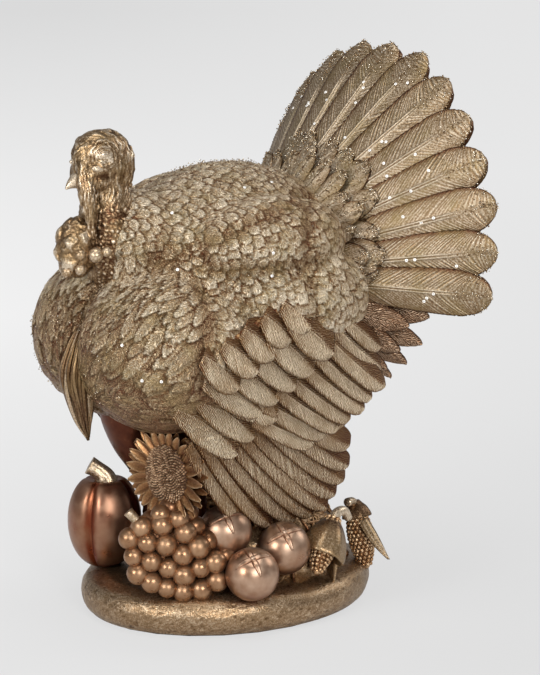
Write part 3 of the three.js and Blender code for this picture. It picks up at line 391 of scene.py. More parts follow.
class Graph:
    """Adds and links the nodes of one material."""

    def __init__(self, name):
        self.material = bpy.data.materials.new(name)
        self.material.use_nodes = True
        self.tree = self.material.node_tree
        self.shader = self.tree.nodes["Principled BSDF"]

    def put(self, socket, value):
        """Sets a plain value on a socket, or links an output to it."""
        if isinstance(value, (int, float, tuple)):
            socket.default_value = value
        else:
            self.tree.links.new(value, socket)

    def node(self, kind, inputs=None, **settings):
        made = self.tree.nodes.new(kind)
        for key, value in settings.items():
            setattr(made, key, value)
        for key, value in (inputs or {}).items():
            self.put(made.inputs[key], value)
        return made

    def finished(self, inputs):
        """The material, with inputs given to its shader."""
        for key, value in inputs.items():
            self.put(self.shader.inputs[key], value)
        return self.material

    def value(self, source, output="Fac"):
        """An output of an attribute on the mesh, its number unless another is named."""
        return self.node("ShaderNodeAttribute", attribute_name=source).outputs[output]

    def place(self):
        return self.node("ShaderNodeTexCoord").outputs["Object"]

    def math(self, operation, *inputs):
        return self.node("ShaderNodeMath", dict(enumerate(inputs)), operation=operation).outputs[0]

    def noise(self, size, detail=2.0):
        """Noise on the object with features of a size in millimetres."""
        inputs = {"Vector": self.place(), "Scale": 1 / (size * MM), "Detail": detail}
        return self.node("ShaderNodeTexNoise", inputs).outputs["Fac"]

    def ramp(self, source, stops):
        """Picture colours at places along a value."""
        made = self.node("ShaderNodeValToRGB", {"Fac": source})
        while len(made.color_ramp.elements) < len(stops):
            made.color_ramp.elements.new(0.5)
        for element, (place, shade) in zip(made.color_ramp.elements, stops):
            element.position = place
            element.color = colour(*shade)
        return made.outputs["Color"]

    def mix(self, share, first, second):
        inputs = {"Factor": share, 6: first, 7: second}
        return self.node("ShaderNodeMix", inputs, data_type="RGBA").outputs[2]

    def spread(self, source, low, high, start=0.3, end=0.7):
        """A value stretched from one range to another."""
        inputs = {"Value": source, "From Min": start, "From Max": end, "To Min": low, "To Max": high}
        return self.node("ShaderNodeMapRange", inputs).outputs["Result"]

    def bump(self, height, depth):
        """A normal raised by a height, over a depth in millimetres."""
        return self.node("ShaderNodeBump", {"Height": height, "Distance": depth * MM}).outputs["Normal"]


def antique(
    name, dark, middle, light, patch, shine=0.4, metal=0.75, speckle=1.1, mottle=0.16,
    grain=0.2, barbs=0.0, slant=1.2, streak=0.2, sway=1.1,
):
    """Metallic paint of picture colours, rubbed off the ridges and left dark in the crevices; the lift
    that it reads also carries painted shade and painted highlights.
    """
    graph = Graph(name)
    fine = graph.noise(speckle)
    patches = graph.noise(15, 3)
    wear_and_painted_light = graph.math("ADD", graph.value("lift"), graph.spread(fine, -mottle, mottle))
    height = graph.spread(fine, 0.0, 0.5)
    if barbs:
        parts = graph.node("ShaderNodeSeparateXYZ", {0: graph.value("vane", "Vector")})
        swayed = graph.spread(graph.noise(3), -sway, sway)
        across = graph.math("ABSOLUTE", parts.outputs["X"])
        climb = graph.math("SUBTRACT", parts.outputs["Y"], graph.math("MULTIPLY", across, slant))
        phase = graph.math("MULTIPLY", graph.math("ADD", climb, swayed), TURN / barbs)
        wave = graph.math("SINE", phase)
        height = graph.math("ADD", height, graph.math("MULTIPLY", wave, 0.9))
        wear_and_painted_light = graph.math("ADD", wear_and_painted_light, graph.math("MULTIPLY", wave, streak))
    paint = graph.ramp(wear_and_painted_light, [(0.0, dark), (0.45, middle), (0.95, light)])
    tinted = graph.mix(graph.spread(patches, 0.0, 0.45, 0.45, 0.75), paint, colour(*patch))
    rough = graph.spread(fine, shine - 0.06, shine + 0.12)
    normal = graph.bump(height, grain)
    inputs = {"Base Color": tinted, "Metallic": metal, "Roughness": rough, "Normal": normal}
    return graph.finished(inputs)


plumage = antique(
    "plumage_paint", (92, 52, 28), (168, 142, 107), (236, 222, 198), (156, 138, 92),
    barbs=1.8, streak=0.15, sway=1.5, grain=0.3,
)
wing_paint = antique(
    "wing_paint", (82, 38, 16), (164, 131, 90), (255, 240, 212), (150, 114, 70),
    mottle=0.17, barbs=1.9, slant=1.6, streak=0.33, sway=0.8, grain=0.35,
)
quills = antique("quill_paint", (88, 50, 27), (128, 106, 78), (218, 203, 180), (122, 104, 58))
undertail_paint = antique(
    "undertail_paint", (56, 28, 14), (136, 102, 74), (236, 206, 174), (112, 78, 52),
    shine=0.34, metal=0.85, barbs=2.4, slant=1.8, streak=0.3,
)
skin_paint = antique(
    "skin_paint", (72, 44, 24), (150, 124, 92), (240, 224, 200), (132, 110, 72),
    shine=0.34, metal=0.85, grain=0.1,
)
copper = antique(
    "copper_paint", (112, 54, 32), (158, 124, 100), (224, 198, 174), (138, 100, 72),
    shine=0.33, metal=0.9, speckle=7.0, mottle=0.1, grain=0.03,
)
# The legs' copper, darker than the fruit's as painted shade under the body.
shaded_copper = antique(
    "shaded_leg_paint", (58, 26, 14), (92, 50, 32), (164, 116, 86), (80, 38, 24),
    shine=0.34, metal=0.85, speckle=5.0, grain=0.05,
)
bronze = antique(
    "grape_paint", (96, 54, 30), (150, 114, 84), (206, 172, 138), (132, 94, 64),
    shine=0.32, metal=0.85, speckle=5.0, mottle=0.1, grain=0.03,
)
hammered = antique(
    "base_paint", (78, 52, 30), (152, 126, 96), (230, 210, 182), (138, 110, 78),
    shine=0.32, metal=0.95, speckle=0.9, grain=0.25,
)
corn_paint = antique(
    "corn_paint", (96, 60, 34), (158, 118, 78), (236, 206, 166), (136, 90, 54),
    shine=0.34, metal=0.8, grain=0.05,
)
straw_paint = antique("straw_paint", (74, 40, 22), (128, 92, 60), (206, 172, 128), (128, 74, 42))
seed_paint = antique(
    "seed_paint", (58, 38, 26), (134, 100, 72), (206, 174, 140), (86, 64, 46),
    shine=0.42, metal=0.7,
)


def spark_paint(name, stops, metal, rough, coat=0.0):
    """Bright paint whose colour follows the lift of each flake or rim."""
    graph = Graph(name)
    shade = graph.ramp(graph.value("lift"), stops)
    inputs = {"Base Color": shade, "Metallic": metal, "Roughness": rough, "Coat Weight": coat}
    return graph.finished(inputs)


def felt_cloth():
    graph = Graph("felt_cloth")
    fibres = graph.noise(0.8, 4)
    shade = graph.mix(graph.spread(fibres, 0, 1), colour(44, 38, 32), colour(78, 66, 54))
    nap = graph.bump(fibres, 0.4)
    inputs = {"Base Color": shade, "Roughness": 0.95, "Sheen Weight": 0.3, "Normal": nap}
    return graph.finished(inputs)


# Feathers


# Share of a feather's length at which its shaft runs out
SHAFT_END = 0.85


@dataclass
class Look:
    """How one kind of feather is modelled."""

    rows: int = 90
    across: tuple = (0.05, 0.1, 0.17, 0.32, 0.5, 0.7, 0.87, 1.0)
    root: float = 0.5
    widest: float = 0.66
    thickness: float = 4.0
    crown: float = 0.5
    roll: float = 0.0
    bow: float = 0.0
    period: float = 3.0
    depth: float = 0.45
    slant: float = 1.2
    shaft: float = 0.7
    point: float = 0.5
    # Tone is lift added to a whole feather; on the drooping primaries it is painted shade. Hidden is
    # the share of the half-width under the next feather's edge, and groove the width of the painted
    # shade beside that edge.
    tone: float = 0.0
    hidden: float = -1.0
    groove: float = 0.2


def vane_share(v, root, widest, point):
    """Share of the full half-width along a feather. A higher point makes its tip sharper."""
    rise = root + (1 - root) * np.sin(np.minimum(v / widest, 1) * math.pi / 2)
    end = np.maximum(v - widest, 0) / (1 - widest)
    return rise * (1 - 0.985 * end * end) ** point


def barb_waves(rows, turns):
    """Uneven waves down one vane, as a phase and a strength for each row."""
    pace = smooth_random(rows, 5, 0.6, 1.4)
    phase = np.cumsum(pace / pace.mean()) / rows * turns * TURN
    return phase, smooth_random(rows, 4, 0.35, 1.1)


def feather(shape, root, tip, face, width, look):
    """A moulded feather whose rows follow its barbs. Returns its top sheet and its up axis."""
    root = np.asarray(root, float)
    along = np.asarray(tip, float) - root
    length = np.linalg.norm(along)
    along = along / length
    up = unit(face - along * np.dot(face, along))
    up = turned(up, along, math.radians(look.roll))
    side = np.cross(along, up)
    rows = look.rows + 1
    half_row = np.array(look.across)
    u = np.concatenate([-half_row[::-1], [0.0], half_row])[None, :]
    w = np.linspace(0, 1, rows)[:, None]
    sweep = ease(0, 0.12, w) * (1 - ease(0.62, 1, w))
    v = np.clip(w + look.slant * 0.5 * width * np.abs(u) ** 1.2 * sweep / length, 0, 1)
    half = 0.5 * width * vane_share(v, look.root, look.widest, look.point)
    waves = [barb_waves(rows, length / look.period) for _ in range(2)]
    left = u < 0
    phase = np.where(left, waves[0][0][:, None], waves[1][0][:, None])
    strength = np.where(left, waves[0][1][:, None], waves[1][1][:, None])
    ridge = 0.5 + 0.5 * np.cos(phase + 1.5 * np.abs(u))
    vaned = ease(0.06, 0.22, np.abs(u)) * ease(0, 0.08, w)
    x = u * half * (1 - 0.06 * u**4 * ease(0.75, 1.05, strength) * (1 - ridge))
    y = v * length
    barb = look.depth * strength * (ridge - 0.5) * vaned
    crest = 0.65 * (1 + look.hidden)
    off = np.abs(u - crest) / np.where(u > crest, 1 - crest, 1 + crest)
    crown = look.crown * look.thickness * (1 - 0.4 * v) * (1 - off**2.4)
    pair = np.exp(-(((np.abs(x) - 0.8) / 0.45) ** 2)) * (1 - ease(SHAFT_END - 0.2, SHAFT_END, v))
    top = crown + barb + look.shaft * pair
    arch = look.bow * length * 4 * v * (1 - v)
    place = root + along * y[..., None] + side * (x + arch)[..., None]
    upper = place + up * top[..., None]
    # Lighter on the barb ridges; a painted highlight along the crest; painted shade toward the root,
    # under the row before, on the side tucked under the next feather and in a thin line along the free
    # edge; a lighter shaft with a dark line down its middle.
    shade = 0.34 + 0.36 * strength * (ridge - 0.3) * vaned + 0.16 * (1 - off**2)
    shade = shade * blend(0.45, 1, ease(0.02, 0.4, v))
    shade = shade * blend(0.05, 1, ease(0.0, look.groove, np.minimum(u - look.hidden, 3 * (1 - u))))
    shade = shade + 0.32 * pair - 0.2 * np.exp(-((x / 0.4) ** 2)) * (1 - ease(0.6, 0.8, v))
    shade = shade + look.tone
    drawn = np.stack([x, y, 0 * y], -1)
    leaf(shape, upper, up, 0.95 * look.crown * look.thickness + 1.0, shade, drawn)
    return upper, up


def strip(shape, feathers, depth=9.0, share=0.6):
    """The solid strip that ties a row of feathers together under their quills."""
    rings = []
    for root, tip, face in feathers:
        near = blend(root, tip, 0.05) - 0.6 * face
        far = blend(root, tip, share) - 0.6 * face
        rings.append([near, far, far - depth * face, near - depth * face])
    across = feathers[-1][0] - feathers[0][0]
    root, tip, face = feathers[0]
    if across.dot(np.cross(face, tip - root)) < 0:
        rings.reverse()
    loft(shape, rings, 0.05)


# Glitter and sequins


OCTAHEDRON = np.array([(1, 0, 0), (0, 1, 0), (-1, 0, 0), (0, -1, 0), (0, 0, 0.55), (0, 0, -0.55)])
OCTAHEDRON_FACES = np.array(
    [(0, 1, 4), (1, 2, 4), (2, 3, 4), (3, 0, 4), (1, 0, 5), (2, 1, 5), (3, 2, 5), (0, 3, 5)]
)
flakes = Shape()
dots = Shape()


def sprinkle(places, smallest=0.4, largest=0.8):
    """A small turned flake of glitter at each place."""
    for place in places:
        axis = random.normal(size=3)
        spin = np.array(Matrix.Rotation(random.uniform(0, TURN), 3, Vector(axis)))
        size = random.uniform(smallest, largest)
        flakes.add(place + size * OCTAHEDRON @ spin.T, [OCTAHEDRON_FACES], random.uniform(0, 1) ** 1.5)


def tip_glitter(upper, up, count, first=0.74):
    """Flakes over the outer part of a feather's top sheet, thicker toward its tip."""
    rows, columns = upper.shape[:2]
    share = first + (1 - first) * random.uniform(0, 1, count) ** 0.7
    row = np.minimum((share * rows).astype(int), rows - 1)
    column = random.integers(0, columns, count)
    jitter = random.normal(scale=0.5, size=(count, 3))
    sprinkle(upper[row, column] + up * 0.2 + jitter)


def sequin(place, normal):
    """A cupped round sequin, dark in its middle."""
    normal = unit(normal)
    side = unit(np.cross(normal, (0.3, 0.5, 0.81)))
    out = ring(14, side, np.cross(normal, side))
    radii = (0.5, 0.98, 1.0, 0.72, 0.4)
    heights = (-0.1, 0.0, 0.35, 0.45, 0.2)
    rings = [place + radius * out + height * normal for radius, height in zip(radii, heights)]
    loft(dots, rings, [[0.3], [0.6], [1.0], [1.0], [0.35]])


# Body: one skin whose relief is made of overlapping feathers

# Grooves between the body's bulges, as lines of places on its left side
CREASES = [
    [(31, -75, 232), (41, -64, 236), (52, -51, 244), (61, -38, 250), (64, -16, 258)]
    + [(60, 7, 262), (32, 41, 259)],
    [(53, -52, 236), (58, -47, 228), (65, -34, 227), (72, -17, 228), (73, 8, 227), (72, 20, 228)],
    [(54, -52, 236), (63, -57, 213), (78, -66, 193), (80, -69, 169), (62, -59, 139)],
    [(53, 23, 262), (74, 12, 243), (76, 13, 215), (79, 14, 188)],
]
# The ruff of feathers round the foot of the neck
RUFF = ((0, -66, 235), (34, 31, 35))
# Kinds of body feather: spacing, more room along the flow, length, width and height
PLAIN = (5.0, 1.2, 14, 9.5, 0.95)
STRAND = (3.4, 3.0, 22, 4.8, 0.8)
LONG = (5.3, 3.3, 36, 10, 2.1)
RUMP = (6.0, 1.4, 20, 11, 1.3)


def body_flow(points):
    """The way that the feathers point at places on the body."""
    x, y, z = points.T
    front = ((1 - ease(-66, -52, y)) * (1 - ease(228, 244, z)))[:, None]
    side = np.sign(x) * ease(0, 30, np.abs(x))
    low = 1 - ease(140, 200, z)
    back = np.stack([0 * x, np.ones_like(x), -0.15 - 0.8 * ease(5, 55, np.abs(x))], 1)
    breast = np.stack([-0.28 * side, -0.55 - 0.4 * low, -0.8 + 0.42 * low], 1)
    return blend(back, breast, front)


def crease_depth(points):
    """1 in the bottom of a groove between bulges and 0 away from it."""
    folded = points * np.where(points[:, :1] < 0, (-1, 1, 1), (1, 1, 1))
    nearest = np.full(len(points), 99.0)
    for line in CREASES:
        for place in spline(line, 24):
            nearest = np.minimum(nearest, np.linalg.norm(folded - place, axis=1))
    valley = np.exp(-((points[:, 0] / 6) ** 2)) * (1 - ease(-104, -84, points[:, 1]))
    return np.maximum(np.exp(-((nearest / 5.5) ** 2)), valley)


def spread_out(points, spacing, along, stretch):
    """Numbers of points chosen so that none is too near another, with more room along the flow."""
    kept = np.empty_like(points)
    gaps = np.empty(len(points))
    chosen = []
    for i in random.permutation(len(points)):
        total = len(chosen)
        away = kept[:total] - points[i]
        down = away @ along[i]
        apart = (away**2).sum(1) - (1 - 1 / stretch[i] ** 2) * down**2
        if (apart < (0.5 * (gaps[:total] + spacing[i])) ** 2).any():
            continue
        kept[total] = points[i]
        gaps[total] = spacing[i]
        chosen.append(i)
    return np.array(chosen)


def feather_relief(points, centres, along, across, length, width, rise):
    """Height, lift and vane place of overlapping feathers, seen at places on a skin."""
    tree = KDTree(len(centres))
    for i, centre in enumerate(centres):
        tree.insert(centre, i)
    tree.balance()
    near = np.array([[found[1] for found in tree.find_n(point, 24)] for point in points])
    away = points[:, None] - centres[near]
    y = (away * along[near]).sum(2)
    v = y / length[near] + 0.5
    x = (away * across[near]).sum(2) - 0.08 * length[near] * (v - 0.5) ** 2
    edge = np.abs(2 * x / width[near]) ** 1.8 + (np.maximum(v - 0.4, 0) / 0.6) ** 2
    edge = edge + 9 * np.maximum(-v, 0)
    inside = edge < 1
    top = np.where(inside, rise[near] * (0.2 + 0.8 * v) * (1 - 0.3 * edge * edge), -1.0)
    pick = top.argmax(1)[:, None]
    best = np.take_along_axis(v, pick, 1)
    rim = np.take_along_axis(edge, pick, 1)[:, 0]
    over = (~inside) & (v > best) & (v < 1.2)
    shadow = np.where(over, 1 - np.clip((edge - 1) / 0.45, 0, 1), 0).max(1)
    tone = random.normal(scale=0.07, size=len(centres))[np.take_along_axis(near, pick, 1)[:, 0]]
    # Painted shade toward each feather's root and as a shadow beside the edges of the feathers lying
    # over it; a painted highlight along its rim; each feather's tone is its own random colour.
    lift = 0.3 + 0.2 * ease(0.1, 0.8, best[:, 0]) + 0.24 * ease(0.5, 0.85, rim) + tone - 0.58 * shadow
    place = np.stack([np.take_along_axis(part, pick, 1)[:, 0] for part in (x, y)], 1)
    vane = np.concatenate([place, np.zeros((len(points), 1))], 1)
    return np.maximum(top.max(1), 0), lift, vane


def build_body():
    forms = Shape()
    for centre, halves in [*BODY_FORMS, RUFF]:
        ball(forms, centre, halves, 48)
    points, corners, normals = fused(forms, 1.35, 6)
    crease = crease_depth(points)
    points = points - normals * (3.2 * crease)[:, None]
    x, y, z = points.T
    front = (1 - ease(-66, -54, y)) * (1 - ease(228, 244, z))
    near_side = ease(-24, -8, x)
    strand = near_side * front * (1 - ease(28, 44, x - 16 * ease(190, 215, z))) * ease(165, 185, z)
    belly = 1 - ease(114, 121, z)
    leafy = (front - strand) * (1 - belly)
    rump = ease(30, 52, y) * (1 - front)
    plain = 1 - strand - leafy - rump
    grown = blend(1, 0.68, ease(175, 225, z))
    shares = (grown, 1, grown, grown, 1)
    spacing, stretch, length, width, rise = (
        a * plain + b * strand + c * leafy * share + d * rump
        for a, b, c, d, share in zip(PLAIN, STRAND, LONG, RUMP, shares)
    )
    flow = along_skin(body_flow(points), normals)
    chosen = spread_out(points, spacing, flow, stretch)
    size = random.uniform(0.85, 1.15, len(chosen))
    centres = points[chosen]
    up = normals[chosen]
    along = along_skin(flow[chosen] + random.normal(scale=0.12, size=(len(chosen), 3)), up)
    across = np.cross(along, up)
    rise = rise[chosen] * random.uniform(0.8, 1.2, len(chosen))
    height, lift, vane = feather_relief(
        points, centres, along, across, size * length[chosen], size * width[chosen], rise
    )
    shape = Shape()
    moved = points + normals * (height - 0.4)[:, None]
    # Painted shade: the lift is cut toward the bottom, most of all low on the breast, and lowered on
    # the front of the breast and in the creases; the flanks are painted lighter.
    low = 0.3 * (1 - ease(120, 160, z)) + 0.62 * (1 - ease(125, 210, z)) * (1 - ease(-70, -40, y))
    painted_light_and_shade = 0.32 * crease + 0.24 * (1 - ease(-114, -95, y)) - 0.1
    painted_light_and_shade = painted_light_and_shade - 0.12 * ease(50, 66, np.abs(x)) * (1 - ease(232, 246, z)) * ease(-60, -40, y)
    shape.add(moved, [corners], np.clip((lift - painted_light_and_shade) * (1 - low), 0, 1), vane)
    crest = np.maximum(ease(262, 279, z), 0.6 * (1 - ease(-112, -100, y)))
    for i in np.flatnonzero(random.uniform(0, 1, len(points)) < 0.25 * crest):
        above = moved[i] + normals[i] * random.uniform(0, 0.8)
        sprinkle([above + random.normal(scale=0.6, size=3)], 0.35, 0.65)
    for i in np.flatnonzero(random.uniform(0, 1, len(points)) < 0.05 * (plain + rump)):
        sprinkle([moved[i] + normals[i] * random.uniform(0, 0.3)], 0.3, 0.5)
    for i in random.choice(np.flatnonzero(z > 165), 40, replace=False):
        sequin(moved[i] + normals[i] * 0.3, normals[i])
    piece("body_plumage", shape, plumage, "gold_plumage", "body")


build_body()


# Wings: the upper tier of coverts over secondaries, then the drooped lower tier


def wing_row(shape, count, roots, tips, face, width, look):
    """A row of feathers, each with the next one lying over its upper edge."""
    face = unit(face)
    feathers = []
    for t in np.linspace(0, 1, count):
        root = WING + blend(np.array(roots[0], float), np.array(roots[1], float), t)
        a, b, c = (np.array(tip, float) for tip in tips)
        tip = WING + (1 - t) ** 2 * a + 2 * t * (1 - t) * b + t * t * c
        feathers.append((root, tip + random.normal(scale=0.8, size=3), face))
    middles = np.array([blend(root, tip, 0.5) for root, tip, face in feathers])
    spacing = np.linalg.norm(np.diff(middles, axis=0), axis=1).mean()
    shown = replace(look, hidden=max(-1, 1 - 2 * spacing / width))
    for root, tip, face in feathers:
        feather(shape, root, tip, face, width * random.uniform(0.95, 1.08), shown)
    strip(shape, feathers)


BAND = Look(
    rows=52, root=0.8, widest=0.68, roll=-11, bow=0.02, depth=0.2, shaft=0.0, point=0.3, groove=0.36,
)
LEAF = Look(
    rows=48, widest=0.5, crown=0.45, roll=-12, bow=-0.06, depth=0.2, shaft=0.15, point=0.45, groove=0.4,
)


def wing_tier(rows):
    """Rows of feathers, each with its count, look, tone, width, facing, end roots and tips."""
    shape = Shape()
    for count, look, tone, width, face, roots, tips in rows:
        wing_row(shape, count, roots, tips, face, width, replace(look, tone=tone))
    return shape


def lower_wing(first):
    """The drooped tier, whose primaries start at a place in their row."""
    root = (-7, -46, -75) if first else (-12, -66, -70)
    tip = (-24, 12, -143) if first else (-22, -18, -132)
    bands = [root, (-3, 5, -55)], [tip, (-24, 74, -153), (-9, 47, -72)]
    leaves = [(-8, -78, -47), (-2, -50, -38)], [(-5, -36, -80), (-3, -26, -73), (1, -12, -61)]
    return wing_tier(
        [
            # The primaries face down; their lower tone is painted shade.
            (10 - first, BAND, -0.05, 18.5, (1, 0, -0.15), *bands),
            (3, LEAF, 0.14, 27, (1, -0.1, -0.05), *leaves),
        ]
    )


def build_wings():
    rear = [(0, 24, -14), (-1, 34, 0)], [(-6, 72, -54), (-7, 73, -44), (-8, 71, -30)]
    long = [(0, -28, -57), (1, 22, -12)], [(-2, 18, -80), (-3, 46, -74), (-4, 71, -54)]
    middle = [(3, -66, -28), (5, -4, 0)], [(1, -24, -56), (4, 2, -42), (6, 26, -24)]
    short = [(5, -68, -13), (3, -8, 11)], [(8, -44, -35), (7, -18, -20), (6, 9, -6)]
    upper = wing_tier(
        [
            (3, BAND, 0.06, 15, (1, 0.15, 0.1), *rear),
            (7, BAND, 0.08, 18.5, (1, 0.1, 0.1), *long),
            (5, LEAF, 0.16, 29, (1, 0, 0.15), *middle),
            (5, LEAF, 0.1, 27, (1, -0.05, 0.2), *short),
        ]
    )
    piece("left_wing_upper", upper, wing_paint, "gold_plumage", "left_wing_coverts")
    piece("right_wing_upper", upper.mirrored(), wing_paint, "gold_plumage", "right_wing_coverts")
    left = lower_wing(0)
    piece("left_wing_lower", left, wing_paint, "gold_plumage", "left_wing_primaries")
    right = lower_wing(2).mirrored()
    piece("right_wing_lower", right, wing_paint, "gold_plumage", "right_wing_primaries")


build_wings()


# Tail: a swept cone of feathers round the rump, two rings of coverts and the undertail


def fan_place(degrees, root_radius, sweep, length, forward):
    """Root, tip and facing of a feather set at an angle round the tail's axis."""
    turn = math.radians(degrees)
    lean = math.radians(sweep)
    tail_up = np.array([0, math.sin(TAIL_TILT), math.cos(TAIL_TILT)])
    tail_back = np.array([0, math.cos(TAIL_TILT), -math.sin(TAIL_TILT)])
    out = np.array([math.sin(turn), 0, 0]) + tail_up * math.cos(turn)
    along = out * math.cos(lean) + tail_back * math.sin(lean)
    face = out * math.sin(lean) - tail_back * math.cos(lean)
    root = TAIL_CENTRE + out * root_radius + face * forward
    return root, root + along * length, face


def build_fan():
    fan = Shape()
    plain = Look(
        rows=144, across=(0.03, 0.06, 0.095, 0.16, 0.3, 0.46, 0.64, 0.8, 0.92, 1.0),
        root=0.55, widest=0.78, thickness=4.6, crown=0.6, period=2.9, depth=0.5, slant=1.35, shaft=1.0,
    )
    behind_far_half = [-6.5, -5.5, -4.5, -3.5]
    for i in [*range(-7, 8), *behind_far_half]:
        degrees = TAIL_STEP * i
        look = replace(plain, roll=6 if i > 0 else 12)
        behind = 0 if i == int(i) else -2.5
        length = TAIL_LENGTH + 17 * math.cos(math.radians(degrees)) + random.uniform(-2, 1)
        upper, up = feather(fan, *fan_place(degrees, TAIL_ROOT, TAIL_SWEEP, length, behind), 30.5, look)
        tip_glitter(upper, up, 150)
        tip_glitter(upper, -2 * up, 40)
        for _ in range(3):
            row = random.integers(50, 120)
            column = random.integers(4, upper.shape[1] - 4)
            sequin(upper[row, column] + up * 0.2, up)
    web = []
    for degrees in np.linspace(-94, 94, 61):
        web.append(fan_place(degrees, TAIL_ROOT, TAIL_SWEEP, TAIL_LENGTH, 0))
    strip(fan, web, 3.5, 0.86)
    hub = []
    angles = -np.arange(96) / 96 * TURN
    out = np.stack([np.sin(angles), 0 * angles, np.cos(angles)], 1)
    for radius, back in TAIL_HUB:
        hub.append(TAIL_CENTRE + radius * out + np.array([0, back, 0]))
    loft(fan, hub, 0.1)
    piece("tail_fan_feathers", fan, quills, "gold_plumage", "tail_fan")


def build_fan_back():
    """The fan's plainer back: fifteen quills, and rings of short feathers over the hub."""
    back = Shape()
    few = (0.05, 0.12, 0.4, 0.7, 1.0)
    quill = Look(rows=44, across=few, root=0.55, widest=0.78, thickness=3, roll=7)
    for i in range(-7, 8):
        degrees = TAIL_STEP * i
        length = 101 + 16 * math.cos(math.radians(degrees))
        root, tip, face = fan_place(degrees, TAIL_ROOT, TAIL_SWEEP, length, -5)
        feather(back, blend(root, tip, 0.08), tip, -face, 29, quill)
    few = (0.08, 0.2, 0.45, 0.75, 1.0)
    short = Look(rows=26, across=few, widest=0.6, thickness=3, depth=0.3, shaft=0.3)
    # Radius of roots and tips, their distances back, and the count of feathers
    rings = (
        (61, 71, 46, 30, 30),
        (54, 67, 52.8, 39, 28),
        (43, 60.5, 53.8, 51.8, 24),
        (31, 50, 54.8, 53.6, 19),
        (17, 38, 55.6, 55, 13),
        (0.5, 24, 56.2, 56.6, 7),
    )
    for near, far, first, last, count in rings:
        for i in range(count):
            turn = (i + random.uniform(-0.25, 0.25)) / count * TURN
            covered_by_undertail = far > 70 and math.cos(turn) < 0
            if covered_by_undertail:
                continue
            out = np.array([math.sin(turn), 0, math.cos(turn)])
            root = TAIL_CENTRE + near * out + (0, first, 0)
            tip = TAIL_CENTRE + (far + random.uniform(-2.5, 2)) * out + (0, last, 0)
            face = out * (first - last) + np.array([0, far - near, 0])
            feather(back, root, tip, face, 1.35 * TURN * far / count, short)
    piece("tail_fan_back", back, quills, "gold_plumage")


def covert_ring(shape, limit, count, reach, extra, uneven, sweep, forward, width, flakes):
    """Ragged glittered feathers on the front of the fan, longer at its top."""
    feathers = []
    rough = Look(rows=54, widest=0.6, period=2.2, depth=0.8, slant=2.2, shaft=0.2, tone=0.04)
    for degrees in np.linspace(-limit, limit, count):
        length = reach + extra * math.cos(math.radians(degrees)) + random.uniform(*uneven)
        place = fan_place(degrees + random.uniform(-4, 4), 36, sweep, length, random.uniform(*forward))
        feathers.append(place)
        upper, up = feather(shape, *place, random.uniform(*width), rough)
        tip_glitter(upper, up, flakes, 0.35)
    return feathers


def build_coverts():
    coverts = Shape()
    outer = covert_ring(
        coverts, limit=88, count=14, reach=42, extra=13, uneven=(-7, 5), sweep=39,
        forward=(6.5, 8.5), width=(19, 27), flakes=170,
    )
    strip(coverts, outer)
    covert_ring(
        coverts, limit=94, count=19, reach=30, extra=9, uneven=(-6, 5), sweep=34,
        forward=(8.5, 10.5), width=(13, 21), flakes=110,
    )
    piece("tail_covert_feathers", coverts, quills, "gold_plumage", "tail_coverts")


def build_undertail():
    under = Shape()
    dark = Look(
        rows=60, widest=0.6, thickness=5, period=2.4, slant=2.0, shaft=0.4, point=0.7, tone=-0.06,
    )
    feathers = []
    for degrees in np.linspace(108, 252, 11):
        place = fan_place(degrees, 36, 50, 70 + random.uniform(-3, 2), 0)
        feathers.append(place)
        feather(under, *place, 21, dark)
    strip(under, feathers[1:-1])
    for degrees in np.linspace(97, 263, 13):
        feather(under, *fan_place(degrees, 37, 47, 56 + random.uniform(-3, 3), 6), 20, dark)
    piece("undertail_feathers", under, undertail_paint, "gold_plumage", "undertail_coverts")


build_fan()
build_fan_back()
build_coverts()
build_undertail()


# Head and neck


